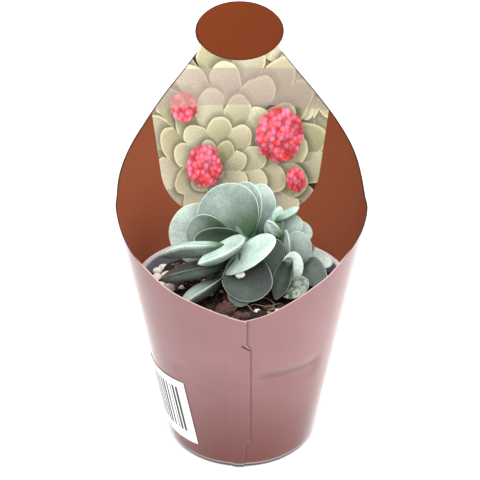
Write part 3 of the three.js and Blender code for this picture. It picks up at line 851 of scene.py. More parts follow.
def head_tree():
    """Grows a leafy head: a thick round leaf on each loose point, and a bar along each edge."""
    tree, add, given = new_tree("leafy head", {
        "Sides": "Int", "Rings": "Int", "Rim": "Float", "Unevenness": "Float", "Seed": "Float",
        "Material": "Material",
    })
    number = {
        key: add("GeometryNodeInputNamedAttribute", key)
        for key in (*LEAF_NUMBERS, "is_leaf", "girth", "number")
    }
    arrow = {
        key: add("GeometryNodeInputNamedAttribute FLOAT_VECTOR", key)
        for key in ("foot", "axis", "left", "face", "ball")
    }
    ball = add("GeometryNodeMeshUVSphere", given["Sides"], given["Rings"], 1)
    spot = add("GeometryNodeInputPosition")
    kept = add(
        "GeometryNodeStoreNamedAttribute FLOAT_VECTOR", Geometry=ball, Name="ball", Value=spot,
        domain="POINT")
    chosen = add("FunctionNodeCompare GREATER_THAN", number["is_leaf"], 0.5)
    placed = add(
        "GeometryNodeInstanceOnPoints", Points=given["Geometry"], Selection=chosen, Instance=kept)
    real = add("GeometryNodeRealizeInstances", placed)
    along, side, height = add("SeparateXYZ", arrow["ball"]).outputs
    # an uneven growth, different on each leaf
    seed = add("Math MULTIPLY_ADD", number["number"], 7.31, given["Seed"])
    growth = add("TexNoise", arrow["ball"], W=seed, Scale=0.9, Detail=1, noise_dimensions="4D")
    tints = add("SeparateXYZ", growth.outputs["Color"]).outputs
    swell = add("Math SUBTRACT", tints["X"], 0.5)
    warp = add("Math SUBTRACT", tints["Y"], 0.5)
    # the outline: an egg shape that narrows towards a point at the tip
    tipward = add("Math MAXIMUM", along, 0)
    narrowed = add("Math MULTIPLY", add("Math POWER", tipward, 3), number["tip"])
    width = add("Math MULTIPLY_ADD", along, number["egg"], 1)
    width = add("Math MULTIPLY", width, add("Math SUBTRACT", 1, narrowed))
    width = add("Math MULTIPLY", width, add("Math MULTIPLY_ADD", swell, given["Unevenness"], 1))
    across = add("Math MULTIPLY", side, width)
    half_long, half_wide, half_rim = (
        add("Math MULTIPLY", size, 0.5) for size in (number["long"], number["wide"], given["Rim"]))
    x = add("Math MULTIPLY_ADD", along, half_long, half_long)
    y = add("Math MULTIPLY", across, half_wide)
    # the thickness: a nearly flat face above a blunt edge, and a full belly below
    cupped = add("Math MULTIPLY", add("Math MULTIPLY", across, across), number["cup"])
    above = add("Math MAXIMUM", height, 0)
    lack = add("Math SUBTRACT", 1, above)
    brow = add("Math MULTIPLY", add("Math MULTIPLY", lack, lack), half_rim)
    below = add("Math MAXIMUM", add("Math MULTIPLY", height, -1), 0)
    deep = add("Math SUBTRACT", number["thick"], half_rim)
    belly = add("Math MULTIPLY", add("Math POWER", below, 1.4), deep)
    dished = add("MapRange SMOOTHSTEP", above, 0.3, 1, 0, number["dish"])
    curl = add("Math MULTIPLY", add("Math MULTIPLY", tipward, tipward), number["bend"])
    wave = add("Math MULTIPLY", warp, 1.1 * MM)
    z = add("Math ADD", wave, add("Math MULTIPLY", cupped, half_wide))
    for part in (brow, belly, dished, curl):
        z = add("Math SUBTRACT", z, part)
    place = arrow["foot"]
    for key, amount in (("axis", x), ("left", y), ("face", z)):
        step = add("VectorMath SCALE", arrow[key], amount)
        place = add("VectorMath ADD", place, step)
    leaves = add("GeometryNodeSetPosition", Geometry=real, Position=place)
    # the stem and the leaf stalks
    lines = add("GeometryNodeMeshToCurve", given["Geometry"])
    ring = add("GeometryNodeCurvePrimitiveCircle", Resolution=16, Radius=1)
    stalks = add("GeometryNodeCurveToMesh", lines, ring, number["girth"], True)
    whole = add("GeometryNodeJoinGeometry")
    for part in (leaves, stalks):
        feed(whole, {"Geometry": part})
    close_tree(add, whole, given["Material"])
    return tree


class HeadSettings(PropertyGroup):
    """How the leafy heads are made."""

    sides: IntProperty(
        name="Sides", description="Number of points round each leaf", default=72, min=12)
    rings: IntProperty(
        name="Rings", description="Number of rings from a leaf's face to its belly",
        default=28, min=6)
    rim: FloatProperty(
        name="Rim", description="Thickness of a leaf at its margin", default=1.3 * MM,
        unit="LENGTH")
    unevenness: FloatProperty(
        name="Unevenness", description="How far a leaf's outline strays from an even egg",
        default=0.12, min=0, max=1)
    seed: FloatProperty(
        name="Seed", description="Start of the random growth of the leaves", default=3)


class CRASSULA_OT_heads(Operator):
    """Grows the three leafy heads"""

    bl_idname = "crassula.heads"
    bl_label = "Leafy heads"

    def execute(self, context):
        settings = context.scene.crassula_heads
        tree = head_tree()
        material = leaf_material()
        for name in HEADS:
            head = grown("leafy_" + name, head_sketch(name), tree, {
                "Sides": settings.sides, "Rings": settings.rings, "Rim": settings.rim,
                "Unevenness": settings.unevenness, "Seed": settings.seed, "Material": material,
            })
            settle(head, "leaf", name)
        return {"FINISHED"}


# The soil

SOIL = {
    "level": 65 * MM,
    "edge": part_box("soil")[1].x,
    "foot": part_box("soil")[0].z,
    "swell": 0.9 * MM,
    "edge_rise": 1 * MM,
    "side_gap": 0.35 * MM,
    "leaf_near": 4 * MM,
    "wall_share": 1.5,
    "sides": 96,
    "rings": 40,
}


def soil_height(x, y):
    """The soil's height at a place: a gentle swell that rises to the wall."""
    broad = math.sin(0.31 * x / MM + 1.3) * math.cos(0.27 * y / MM - 0.6)
    swell = broad + 0.5 * math.sin((0.7 * x - 0.5 * y) / MM)
    share = math.hypot(x, y) / SOIL["edge"]
    return SOIL["level"] + SOIL["swell"] * swell * (1 - 0.5 * share) + SOIL["edge_rise"] * share ** 2


def soil_top(x, y):
    """The soil's height at a place, with all three in millimetres."""
    return soil_height(x * MM, y * MM) / MM


def leaf_cloud():
    """Points all over the leaves, to find how much room is left under them."""
    turns = np.linspace(0, 2 * math.pi, 13)[:-1]
    spots = [(r * math.cos(t), r * math.sin(t)) for r in (0.3, 0.7, 1) for t in turns]
    points = []
    for _, _, leaves in HEADS.values():
        for one in leaves:
            foot, axis, left, face = leaf_frame(one)
            long, wide, thick = (one[key] * MM for key in ("long", "wide", "thick"))
            for u, v in spots:
                out = foot + 0.5 * (1 + u) * long * axis
                points.append(out + 0.5 * v * wide * left - thick * (1 - v ** 2) * face)
    return np.array([tuple(point) for point in points])


def lowest_leaf(cloud, x, y):
    """The height of the lowest leaf over or near a place, or a metre where there is none."""
    near = np.hypot(cloud[:, 0] - x, cloud[:, 1] - y) < SOIL["leaf_near"]
    return cloud[near, 2].min() if near.any() else 1


def soil_sketch():
    """The plug of soil, with the room above each point of its top and beside the wall."""
    wall, gap = POT["wall"], SOIL["side_gap"]
    rings = [SOIL["edge"] * share for share in np.linspace(1, 0.03, SOIL["rings"])]
    outline = [
        (0, SOIL["foot"]),
        (POT["base_radius"] - wall - gap, SOIL["foot"]),
        (POT["body_top_radius"] - wall - gap, POT["collar_foot"]),
        (POT["collar_radius"] - wall - gap, POT["collar_foot"] + 1.2 * MM),
        *((ring, SOIL["level"]) for ring in rings),
        (0, SOIL["level"]),
    ]
    mesh = turned("soil_sketch", outline, SOIL["sides"])
    cloud = leaf_cloud()
    room = []
    for vertex in mesh.vertices:
        x, y, z = vertex.co
        if z < SOIL["level"] - 0.1 * MM:
            room.append(0)
            continue
        vertex.co.z = soil_height(x, y)
        beside = SOIL["wall_share"] * (SOIL["edge"] - math.hypot(x, y))
        room.append(min(lowest_leaf(cloud, x, y) - vertex.co.z, beside))
    mark(mesh, "room", room)
    return mesh


def stones(add, points, given, spread):
    """Adds rough stones to a tree at points: balls pressed out of shape, each in its own way."""
    ball = add("GeometryNodeMeshIcoSphere", Radius=1, Subdivisions=given["Detail"])
    turn = add(
        "FunctionNodeRandomValue FLOAT_VECTOR", (-0.5, -0.5, -3.2), (0.5, 0.5, 3.2), Seed=5)
    angle = add("FunctionNodeEulerToRotation", turn)
    placed = add(
        "GeometryNodeInstanceOnPoints", Points=points, Instance=ball, Rotation=angle, Scale=spread)
    real = add("GeometryNodeRealizeInstances", placed)
    spot = add("GeometryNodeInputPosition")
    lump = add("TexNoise", spot, Scale=given["Roughness scale"], Detail=3)
    centred = add("VectorMath SUBTRACT", lump.outputs["Color"], (0.5, 0.5, 0.5))
    push = add("VectorMath SCALE", centred, given["Roughness"])
    return add("GeometryNodeSetPosition", Geometry=real, Offset=push)


def scatter_tree():
    """Scatters rough bits over the soil where the leaves leave room for them."""
    tree, add, given = new_tree("scattered bits", {
        "Spacing": "Float", "Least size": "Float", "Most size": "Float", "Flatness": "Float",
        "Room": "Float", "Detail": "Int", "Roughness": "Float", "Roughness scale": "Float",
        "Least shade": "Float", "Seed": "Int", "Material": "Material",
    })
    room = add("GeometryNodeInputNamedAttribute", "room")
    free = add("FunctionNodeCompare GREATER_THAN", room, given["Room"])
    points = add(
        "GeometryNodeDistributePointsOnFaces", given["Geometry"], free, given["Spacing"], 1e7, 1,
        given["Seed"], distribute_method="POISSON")
    pick = add("FunctionNodeRandomValue FLOAT", given["Least shade"], 1, Seed=2)
    shaded = add(
        "GeometryNodeStoreNamedAttribute FLOAT", Geometry=points, Name="shade", Value=pick,
        domain="POINT")
    size = add("FunctionNodeRandomValue FLOAT", given["Least size"], given["Most size"], Seed=3)
    slim = add("FunctionNodeRandomValue FLOAT_VECTOR", (0.75, 0.6, 0.6), (1.25, 1, 0.9), Seed=4)
    flat = add("CombineXYZ", 1, 1, given["Flatness"])
    shape = add("VectorMath MULTIPLY", slim, flat)
    spread = add("VectorMath SCALE", shape, size)
    close_tree(add, stones(add, shaded, given, spread), given["Material"])
    return tree


def grain_tree():
    """Sets a rough grain on each loose point, of the size and shape that the point holds."""
    tree, add, given = new_tree("loose grains", {
        "Detail": "Int", "Roughness": "Float", "Roughness scale": "Float", "Material": "Material",
    })
    spread = add("GeometryNodeInputNamedAttribute FLOAT_VECTOR", "spread")
    close_tree(add, stones(add, given["Geometry"], given, spread), given["Material"])
    return tree


def grain_sketch(name, grains):
    """Loose points for grains: each is its place and its half sizes."""
    mesh = bpy.data.meshes.new(name)
    mesh.from_pydata([MM * Vector(place) for place, _ in grains], [], [])
    mark(mesh, "spread", [MM * Vector(spread) for _, spread in grains])
    return mesh


def fibre_sketch(seed):
    """Thin wandering root fibres that lie on the soil in front, as chains of edges."""
    rng = np.random.default_rng(seed)
    points, edges = [], []
    for _ in range(FIBRES["count"]):
        x, y = rng.uniform(*FIBRES["across"]), rng.uniform(*FIBRES["depth"])
        heading = rng.uniform(-0.6, 0.6)
        for step in range(FIBRES["steps"]):
            lift = FIBRES["lift"] + FIBRES["arch"] * math.sin(math.pi * step / (FIBRES["steps"] - 1))
            if step:
                edges.append((len(points) - 1, len(points)))
            inward = min(1, FIBRES["reach"] / math.hypot(x, y))
            across, back = x * inward, y * inward
            points.append(MM * Vector((across, back, soil_top(across, back) + lift)))
            heading += rng.normal(0, 0.28)
            x, y = x + math.cos(heading), y + math.sin(heading)
    mesh = bpy.data.meshes.new("root_fibres")
    mesh.from_pydata(points, edges, [])
    return mesh


def fibre_tree():
    """Gives each chain of edges the thickness of a fibre."""
    tree, add, given = new_tree("root fibres", {"Girth": "Float", "Material": "Material"})
    lines = add("GeometryNodeMeshToCurve", given["Geometry"])
    ring = add("GeometryNodeCurvePrimitiveCircle", Resolution=6, Radius=given["Girth"])
    tubes = add("GeometryNodeCurveToMesh", lines, ring, 1, True)
    close_tree(add, tubes, given["Material"])
    return tree


# Root fibres, in millimetres: where they start, how high they lie and how far out they reach
FIBRES = {
    "count": 9, "steps": 14, "across": (-14, 18), "depth": (-29, -19), "lift": 1.2, "arch": 1.3,
    "reach": 38,
}
# Bits that are scattered on the soil: spacing, least and most half size, flatness, room
# needed, detail, roughness and darkest shade, in millimetres where they are sizes.
BITS = {
    "crumbs": (1.15, 0.35, 1.0, 0.9, 0.6, 1, 0.5, 0.0),
    "lumps": (4.6, 1.3, 2.5, 0.8, 4.5, 3, 1.9, 0.35),
    "flakes": (7, 1.6, 3.2, 0.35, 3.2, 3, 1.3, 0.5),
}
# Grains of pumice that lie in plain sight on the soil, as x, y and half size
SHOWN_GRAINS = (
    (-36, 10.2, 2.2), (-33.8, 13.6, 2.2), (-35, 3.6, 2.5), (-32, 7, 2.3), (-33, -3.4, 2.3),
    (-29, -7.2, 2.4), (-24.4, -4, 1.4), (-36.2, -0.4, 1.5), (35.8, 5.6, 1.3), (13.4, -22.6, 0.8),
)
# How far out the random grains lie
GRAIN_REACH = 37.5
# Lumps of bark that lie in front, as x, y, three half sizes and shade
SHOWN_LUMPS = (
    (-6, -22.6, 4.4, 3.2, 2.6, 0.78), (10.5, -19.5, 2.8, 2.2, 1.6, 0.82),
    (15.5, -22, 2.4, 2, 1.5, 0.7), (7, -26.8, 3, 2, 1.5, 0.6), (1.5, -27.5, 2.2, 1.8, 1.4, 0.84),
    (-12, -21, 2.6, 2, 1.6, 0.5), (-18, -15, 3, 2.4, 1.8, 0.74), (-26, 0, 3.2, 2.6, 2.2, 0.8),
    (-31, 13, 3, 2.4, 2, 0.72), (31, -3, 2.6, 2.2, 1.6, 0.62), (24, -13, 2.4, 2, 1.5, 0.76),
)


class SoilSettings(PropertyGroup):
    """How the soil is made."""

    seed: IntProperty(
        name="Seed", description="Start of the random scatter on the soil", default=4)
    grain_count: IntProperty(
        name="Pumice grains", description="Number of pumice grains mixed into the surface",
        default=14, min=0)
    grain_size: FloatProperty(
        name="Grain size", description="Half the width of a large grain of pumice",
        default=1.5 * MM, unit="LENGTH")
    fibre: FloatProperty(
        name="Fibre", description="Half the thickness of a root fibre", default=0.12 * MM,
        unit="LENGTH")


def pumice_places(settings):
    """Where grains of pumice lie and their half sizes: those in sight, then random ones."""
    rng = np.random.default_rng(settings.seed)
    grains = [((x, y, soil_top(x, y) + 0.6 * r), (r, 0.85 * r, 0.75 * r))
              for x, y, r in SHOWN_GRAINS]
    cloud = leaf_cloud()
    while len(grains) < len(SHOWN_GRAINS) + settings.grain_count:
        reach, angle = GRAIN_REACH * math.sqrt(rng.random()), 2 * math.pi * rng.random()
        x, y = reach * math.cos(angle), reach * math.sin(angle)
        r = settings.grain_size / MM * rng.uniform(0.35, 1)
        z = soil_top(x, y)
        if lowest_leaf(cloud, x * MM, y * MM) > (z + 2 * r + 0.5) * MM:
            grains.append(((x, y, z + 0.5 * r), (r, 0.85 * r, 0.7 * r)))
    return grains


class CRASSULA_OT_soil(Operator):
    """Fills the pot with soil, its bits of bark and its grains of pumice"""

    bl_idname = "crassula.soil"
    bl_label = "Soil"

    def execute(self, context):
        settings = context.scene.crassula_soil
        material = soil_material()
        tree = scatter_tree()
        plug = put("soil", soil_sketch())
        plug.data.materials.append(material)
        pieces = [plug]
        for name, bits in BITS.items():
            spacing, least, most, flatness, room, detail, rough, shade = bits
            pieces.append(grown("soil_" + name, soil_sketch(), tree, {
                "Spacing": spacing * MM, "Least size": least * MM, "Most size": most * MM,
                "Flatness": flatness, "Room": room * MM, "Detail": detail,
                "Roughness": rough * MM, "Roughness scale": 1 / (1.1 * most * MM),
                "Least shade": shade, "Seed": settings.seed, "Material": material,
            }))
        sketch = grain_sketch("bark_lumps", [
            ((x, y, soil_top(x, y) + 0.35 * c), (a, b, c)) for x, y, a, b, c, _ in SHOWN_LUMPS])
        mark(sketch, "shade", [lump[-1] for lump in SHOWN_LUMPS])
        pieces.append(grown("bark_lumps", sketch, grain_tree(), {
            "Detail": 4, "Roughness": 2.2 * MM, "Roughness scale": 1 / (2.2 * MM),
            "Material": material,
        }))
        pieces.append(grown("root_fibres", fibre_sketch(settings.seed), fibre_tree(), {
            "Girth": settings.fibre, "Material": fibre_material(),
        }))
        settle(merged(pieces, "peat_soil"), "potting_soil", "soil")
        grains = pumice_places(settings)
        pumice = grown("pumice_grains", grain_sketch("pumice_grains", grains), grain_tree(), {
            "Detail": 3, "Roughness": 1.3 * MM, "Roughness scale": 1 / (1.4 * MM),
            "Material": pumice_material(),
        })
        settle(pumice, "pumice")
        return {"FINISHED"}


class CRASSULA_OT_caught_grain(Operator):
    """Puts the grain of pumice between two leaves"""

    bl_idname = "crassula.caught_grain"
    bl_label = "Caught grain"

    def execute(self, context):
        low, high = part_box("caught_grain")
        middle = (low + high) / (2 * MM) + Vector((0, -0.8, 0.9))
        sketch = grain_sketch("caught_pumice", [(middle, 0.95 * (high - low) / (2 * MM))])
        caught = grown("caught_pumice", sketch, grain_tree(), {
            "Detail": 4, "Roughness": 1 * MM, "Roughness scale": 1 / (1.6 * MM),
            "Material": pumice_material(),
        })
        settle(caught, "pumice", "caught_grain")
        return {"FINISHED"}


# The card sleeve and its label

SLEEVE = {
    "foot": 1.2 * MM,
    "foot_radius": 32.7 * MM,
    "flare": 0.1618,
    "turn": math.radians(0.9),
    "picture_radius": 55 * MM,
}
# The upper edge from the notch to the tag: height, and how many degrees it reaches round
# from the back on the left and on the right
SLEEVE_EDGE = (
    (72.7, 180, 180), (75.1, 170.4, 169.1), (78.4, 158, 160), (82.5, 142.5, 149),
    (86, 134, 139), (90, 122, 131), (94.5, 111, 119.5), (98, 102, 108), (101, 97, 98),
    (103.8, 88.4, 86.1), (107.8, 82, 79.6), (116, 68, 68.5), (127, 50.6, 52.3),
    (137.5, 37.2, 38), (148, 25.2, 25.6), (155.8, 17.6, 17.6),
)
TAG = {
    "middle": 162.5 * MM, "half_tall": 12.4 * MM, "half_wide": 19.6 * MM, "half_round": 18.6 * MM,
}
PICTURE = {
    "half_width": math.radians(46) * SLEEVE["picture_radius"], "foot_top": 104 * MM,
    "foot_tall": 26 * MM,
}
BAND = {"foot": 131 * MM, "top": 147 * MM, "share": 0.62}
# Rosettes in the picture: the middle, round from the back and up, then each row's reach,
# number of leaves, and a leaf's length and half width
ROSETTES = (
    ((-34, 158), ((52, 19, 26, 7.5), (40, 16, 24, 7), (29, 13, 20, 6.5), (19, 10, 16, 5))),
    ((14, 103), ((62, 21, 28, 8.5), (49, 17, 26, 8.5), (37, 14, 23, 8), (26, 11, 20, 7),
                 (16, 8, 14, 5.5))),
)
# Blooms in the picture: middle and radius
BLOOMS = (((-20, 118), 12), ((27, 131), 6.5), ((19, 104), 9.5), ((-31, 99), 5.5))
# The outer end of the card: the height and degrees of its edge, with a locking tab
FLAP_EDGE = ((1.2, 0.9), (13.4, 1.7), (14.8, 4.3), (60.6, 2.9), (62.6, 1.2), (74, 1.2))
# The painted shadow of the slanting slot above the tab: its line, and how far it reaches either side of
# its middle
SLOT = {"slope": 0.7, "height": 62.3 * MM, "middle": 1.35 * MM, "half_long": 1.5 * MM}
# Where the lap starts and where the inner end of the card is, in degrees from the front
LAP_START = -9
INNER_END = -368
LABEL = {
    "long": 46 * MM, "tall": 31 * MM, "tilt": math.radians(5), "heading": math.radians(-31),
    "foot": 8.6 * MM, "pitch": 2.1 * MM, "margin": 3.2 * MM, "bars_foot": 5 * MM,
    "bars_top": 27.5 * MM,
}
# Where the collar's foot presses the card in: from and to, in degrees from the front, and
# how much. Each dent eases out at its ends.
DENTS = ((4, 50, 1), (-44, -28, 0.5))
DENT_EASE = math.radians(9)


def smooth_edge(angle):
    """The height of the sleeve's upper edge at an angle from the front, in degrees and mm."""
    fold = (angle + 180) % 360 - 180
    reach = 180 - abs(fold)
    heights, left, right = (np.array(values, float)[::-1] for values in zip(*SLEEVE_EDGE))
    reaches = left if fold < 0 else right
    slopes = np.gradient(heights, reaches)
    i = int(np.clip(np.searchsorted(reaches, reach) - 1, 0, len(reaches) - 2))
    step = reaches[i + 1] - reaches[i]
    t = (reach - reaches[i]) / step
    return float(
        (1 + 2 * t) * (1 - t) ** 2 * heights[i] + t * (1 - t) ** 2 * step * slopes[i]
        + t ** 2 * (3 - 2 * t) * heights[i + 1] + t ** 2 * (t - 1) * step * slopes[i + 1])


def sleeve_radius(height):
    """The radius of the sleeve at a height."""
    return SLEEVE["foot_radius"] + SLEEVE["flare"] * (height - SLEEVE["foot"])


def tag_reach(height):
    """How far the tag reaches round from the back at a height, in radians."""
    share = min((height - TAG["middle"]) / TAG["half_tall"], 1)
    return math.asin(TAG["half_wide"] * math.sqrt(1 - share ** 2) / sleeve_radius(height))


# Heights of the card's points below the notch, in mm: close where the tab and the dents are
CARD_HEIGHTS = (
    0.1, 1.2, 2.2, 3.5, 6, 8.5, 11, 13.4, 14.8, *range(18, 40, 3), *range(40, 51),
    *range(52, 60, 2), 60.6, 62.6, 66, 70,
)
# How many columns of points each part of the card has, and how many heights there are from the
# notch to the upper edge and in the tag's oval, which is a little blunt at its top
CARD_COLUMNS = {"flap": 13, "left": 92, "tag": 33, "right": 102}
UPPER_HEIGHTS = 22
OVAL_HEIGHTS = 26
TAG_END = 0.15


def card_columns():
    """The flat card as upright columns of points: degrees from the front, and height in mm."""
    neck, reach, _ = SLEEVE_EDGE[-1]
    last = CARD_HEIGHTS[-1]
    shares = 1 - (1 - np.linspace(0, 1, UPPER_HEIGHTS)[1:]) ** 1.5

    def column(angle):
        top = smooth_edge(angle)
        heights = [*CARD_HEIGHTS, *(last + share * (top - last) for share in shares)]
        return [(angle, z) for z in heights]

    def flap(share):
        heights, edges = zip(*FLAP_EDGE)
        return [(LAP_START + share * (np.interp(z, heights, edges) - LAP_START), z)
                for _, z in column(LAP_START * (1 - share))]

    middle, half_tall = TAG["middle"] / MM, TAG["half_tall"] / MM
    turn = np.linspace(math.acos((middle - neck) / half_tall), math.pi, OVAL_HEIGHTS)
    oval = [middle - half_tall * math.cos(t) for t in turn[1:]]

    def tag(share):
        half = [(reach, z) for _, z in column(-180 + reach)]
        half += [(max(math.degrees(tag_reach(z * MM)), TAG_END), z) for z in oval]
        return [(-180 + share * angle, z) for angle, z in half]

    left = np.linspace(LAP_START, -180 + reach, CARD_COLUMNS["left"])[1:-1]
    right = np.linspace(-180 - reach, INNER_END, CARD_COLUMNS["right"])[1:]
    return [
        *(flap(share) for share in np.linspace(1, 0, CARD_COLUMNS["flap"])),
        *(column(angle) for angle in left),
        *(tag(share) for share in np.linspace(1, -1, CARD_COLUMNS["tag"])),
        *(column(angle) for angle in right),
    ]


def sheet_sketch(name, columns, places):
    """A flat sheet from columns of (radians, height), with a print map of its places."""
    mesh = bpy.data.meshes.new(name)
    first = np.cumsum([0] + [len(column) for column in columns])
    points = [(angle, 0, height) for column in columns for angle, height in column]
    faces = []
    for j in range(len(columns) - 1):
        for k in range(min(len(columns[j]), len(columns[j + 1])) - 1):
            a, b = first[j] + k, first[j + 1] + k
            faces.append((b, a, a + 1, b + 1))
    mesh.from_pydata(points, [], [[int(i) for i in face] for face in faces])
    spots = [spot for column in places for spot in column]
    layer = mesh.uv_layers.new(name="print")
    for loop in mesh.loops:
        layer.data[loop.index].uv = spots[loop.vertex_index]
    return mesh


def rolled_tree():
    """Rolls a flat sheet into a cone: its X is the angle from the front, its Z the height."""
    tree, add, given = new_tree("rolled sheet", {
        "Foot height": "Float", "Foot radius": "Float", "Flare": "Float", "Turn": "Float",
        "Lap": "Float", "Dent": "Float", "Dent height": "Float", "Unevenness": "Float",
        "Material": "Material",
    })
    spot = add("GeometryNodeInputPosition")
    angle, _, height = add("SeparateXYZ", spot).outputs
    rise = add("Math SUBTRACT", height, given["Foot height"])
    radius = add("Math MULTIPLY_ADD", rise, given["Flare"], given["Foot radius"])
    # the outer end lies over the inner end
    start = math.radians(LAP_START)
    lapped = add("MapRange SMOOTHSTEP", angle, start, start / 2, 0, given["Lap"])
    radius = add("Math ADD", radius, lapped)
    # the foot of the pot's collar presses a crease into the card, 7 mm down and 6 mm up from it
    off = add("Math SUBTRACT", height, given["Dent height"])
    deep = add("Math MULTIPLY", hump(add, off, (-7 * MM, 0), (0, 6 * MM)), given["Dent"])
    for dent in DENTS:
        pressed = add("Math MULTIPLY", dent_window(add, angle, *dent), deep)
        radius = add("Math SUBTRACT", radius, pressed)
    turned_angle = add("Math ADD", angle, given["Turn"])
    sine = add("Math SINE", turned_angle)
    cosine = add("Math COSINE", turned_angle)
    # slow unevenness of a card that has been handled
    around = add("CombineXYZ", sine, cosine, height)
    uneven = add("TexNoise", around, Scale=2.2, Detail=1)
    centred = add("Math SUBTRACT", uneven, 0.5)
    radius = add("Math MULTIPLY_ADD", centred, given["Unevenness"], radius)
    x = add("Math MULTIPLY", sine, radius)
    y = add("Math MULTIPLY", add("Math MULTIPLY", cosine, radius), -1)
    place = add("CombineXYZ", x, y, height)
    rolled = add("GeometryNodeSetPosition", Geometry=given["Geometry"], Position=place)
    close_tree(add, rolled, given["Material"])
    return tree


def thickened(thickness, offset):
    """What gives a rolled sheet its thickness: inside and rim take the next two materials."""
    def finish(maker):
        wall = maker.modifiers.new("thickness", "SOLIDIFY")
        wall.thickness = thickness
        wall.offset = offset
        wall.use_even_offset = True
        wall.material_offset = 1
        wall.material_offset_rim = 2
    return finish


class SleeveSettings(PropertyGroup):
    """How the card sleeve is made."""

    card: FloatProperty(
        name="Card", description="Thickness of the card", default=0.45 * MM, unit="LENGTH")
    lap: FloatProperty(
        name="Lap", description="How far the outer end stands proud at the seam",
        default=0.5 * MM, unit="LENGTH")
    dent: FloatProperty(
        name="Dent", description="Depth of the crease at the foot of the pot's collar",
        default=0.9 * MM, unit="LENGTH")
    unevenness: FloatProperty(
        name="Unevenness", description="How far the card strays from an even cone",
        default=0.5 * MM, unit="LENGTH")


class CRASSULA_OT_sleeve(Operator):
    """Rolls the printed card into the sleeve"""

    bl_idname = "crassula.sleeve"
    bl_label = "Card sleeve"

    def execute(self, context):
        settings = context.scene.crassula_sleeve
        flat = card_columns()
        columns = [[(math.radians(a), z * MM) for a, z in column] for column in flat]
        places = [[((a + math.pi) * SLEEVE["picture_radius"], z) for a, z in column]
                  for column in columns]
        sketch = sheet_sketch("sleeve_sketch", columns, places)
        # how far each point lies below the upper edge, for the painted shade along it
        neck = SLEEVE_EDGE[-1][0] * MM
        drops = [column[-1][1] - z if column[-1][1] < neck + MM else 1
                 for column in columns for _, z in column]
        mark(sketch, "edge", drops)
        outside = card_outside_material()
        for material in (outside, card_inside_material(), card_edge_material()):
            sketch.materials.append(material)
        sleeve = grown("card_sleeve", sketch, rolled_tree(), {
            "Foot height": SLEEVE["foot"], "Foot radius": SLEEVE["foot_radius"] - 0.2 * MM,
            "Flare": SLEEVE["flare"], "Turn": SLEEVE["turn"], "Lap": settings.lap,
            "Dent": settings.dent, "Dent height": POT["collar_foot"], "Material": outside,
            "Unevenness": settings.unevenness,
        }, thickened(settings.card, -1))
        settle(sleeve, "coated_card", "sleeve")
        return {"FINISHED"}


class LabelSettings(PropertyGroup):
    """How the paper label is made."""

    paper: FloatProperty(
        name="Paper", description="Thickness of the label", default=0.15 * MM, unit="LENGTH")
    columns: IntProperty(
        name="Columns", description="Number of steps along the label", default=48, min=4)


class CRASSULA_OT_label(Operator):
    """Sticks the paper label on the sleeve"""

    bl_idname = "crassula.label"
    bl_label = "Paper label"

    def execute(self, context):
        settings = context.scene.crassula_label
        slant = LABEL["tilt"]
        columns, places = [], []
        for along in np.linspace(0, LABEL["long"], settings.columns + 1):
            column, place = [], []
            for up in np.linspace(0, LABEL["tall"], 13):
                z = LABEL["foot"] + up * math.cos(slant) - 0.5 * along * math.sin(slant)
                round_ = along * math.cos(slant) + up * math.sin(slant)
                column.append((LABEL["heading"] - round_ / sleeve_radius(z), z))
                place.append((along, up))
            columns.append(column)
            places.append(place)
        sketch = sheet_sketch("label_sketch", columns, places)
        paper = label_material()
        for _ in range(3):
            sketch.materials.append(paper)
        label = grown("paper_label", sketch, rolled_tree(), {
            "Foot height": SLEEVE["foot"], "Foot radius": SLEEVE["foot_radius"] + 0.05 * MM,
            "Flare": SLEEVE["flare"], "Turn": 0.0, "Lap": 0.0, "Dent": 0.0, "Dent height": 0.0,
            "Material": paper, "Unevenness": context.scene.crassula_sleeve.unevenness,
        }, thickened(settings.paper, 1))
        settle(label, "label_paper", "label")
        return {"FINISHED"}


# The stage

CAMERA = {"place": (-0.7, -228.5, 175.1), "pitch": 68.61, "lens": 45.83}
# How far the floor reaches, and how high the wall behind it
FAR = 500


class StageSettings(PropertyGroup):
    """The floor and the lights."""

    key: FloatProperty(
        name="Key light", description="Strength of the soft overhead light from the left front",
        default=2.9)
    key_width: FloatProperty(
        name="Light width", description="Angle across each light, as the object sees it",
        default=math.radians(60), subtype="ANGLE", unit="ROTATION")
    fill: FloatProperty(
        name="Fill light", description="Strength of the soft light from the right",
        default=2.1)
    world: FloatProperty(
        name="Surroundings", description="Strength of the white surroundings", default=0.6)
    floor: FloatVectorProperty(
        name="Floor colour", description="Colour of the pale floor", subtype="COLOR", size=3,
        default=linear("FAFAFA")[:3])


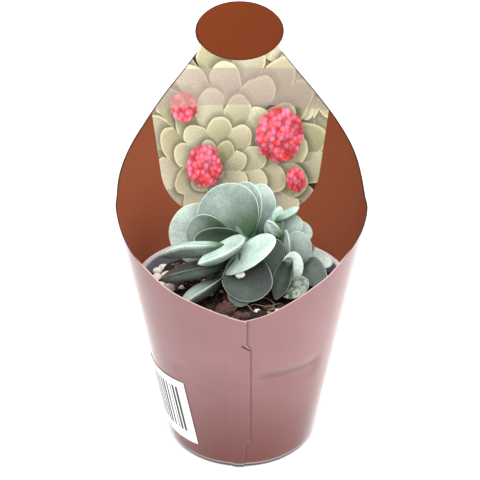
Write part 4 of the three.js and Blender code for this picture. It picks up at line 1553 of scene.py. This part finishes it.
class CRASSULA_OT_stage(Operator):
    """Sets the floor, the lights and the camera"""

    bl_idname = "crassula.stage"
    bl_label = "Stage"

    def execute(self, context):
        settings = context.scene.crassula_stage
        scene = context.scene
        scene.view_settings.view_transform = "Standard"
        mesh = bpy.data.meshes.new("floor")
        mesh.from_pydata(
            [(x, y, z) for y, z in ((-FAR, 0), (FAR, 0), (FAR, FAR)) for x in (-FAR, FAR)],
            [], [(0, 1, 3, 2), (2, 3, 5, 4)])
        mesh.materials.append(blank("matt white card", {
            "Base Color": (*settings.floor, 1), "Roughness": 0.9,
        })[0])
        floor = put("floor", mesh)
        world = bpy.data.worlds.new("white surroundings")
        world.use_nodes = True
        world.node_tree.nodes.clear()
        add = adder(world.node_tree)
        add("OutputWorld", Surface=add("Background", (1, 1, 1, 1), settings.world))
        scene.world = world
        for name, energy, way in (
            ("key_light", settings.key, (0.2, 0.5, -0.84)),
            ("fill_light", settings.fill, (-0.85, 0.25, -0.4)),
        ):
            light = bpy.data.lights.new(name, "SUN")
            light.energy = energy
            light.angle = settings.key_width
            put(name, light).rotation_euler = Vector(way).to_track_quat("-Z", "Y").to_euler()
        camera = put("camera", bpy.data.cameras.new("camera"))
        camera.location = MM * Vector(CAMERA["place"])
        camera.rotation_euler = (math.radians(CAMERA["pitch"]), 0, 0)
        camera.data.lens = CAMERA["lens"]
        camera.data.sensor_width = 36
        camera.data.clip_start = 5 * MM
        scene.camera = camera
        return {"FINISHED"}


class CRASSULA_PT_parts(Panel):
    """Lists what builds the potted crassula"""

    bl_idname = "CRASSULA_PT_parts"
    bl_label = "Potted crassula"
    bl_space_type = "VIEW_3D"
    bl_region_type = "UI"
    bl_category = "Crassula"

    def draw(self, context):
        for group in GROUPS:
            box = self.layout.box()
            for prop in getattr(group, "__annotations__", {}):
                box.prop(getattr(context.scene, GROUPS[group]), prop)
        for operator in OPERATORS:
            self.layout.operator(operator.bl_idname)


GROUPS = {
    PotSettings: "crassula_pot",
    SoilSettings: "crassula_soil",
    HeadSettings: "crassula_heads",
    SleeveSettings: "crassula_sleeve",
    LabelSettings: "crassula_label",
    StageSettings: "crassula_stage",
}
OPERATORS = (
    CRASSULA_OT_pot,
    CRASSULA_OT_soil,
    CRASSULA_OT_heads,
    CRASSULA_OT_caught_grain,
    CRASSULA_OT_sleeve,
    CRASSULA_OT_label,
    CRASSULA_OT_stage,
)


def register():
    for group, name in GROUPS.items():
        bpy.utils.register_class(group)
        setattr(bpy.types.Scene, name, PointerProperty(type=group))
    for operator in OPERATORS:
        bpy.utils.register_class(operator)
    bpy.utils.register_class(CRASSULA_PT_parts)


def unregister():
    bpy.utils.unregister_class(CRASSULA_PT_parts)
    for operator in reversed(OPERATORS):
        bpy.utils.unregister_class(operator)
    for group, name in GROUPS.items():
        delattr(bpy.types.Scene, name)
        bpy.utils.unregister_class(group)


def main():
    register()
    for operator in OPERATORS:
        family, name = operator.bl_idname.split(".")
        getattr(getattr(bpy.ops, family), name)()


if __name__ == "__main__":
    main()
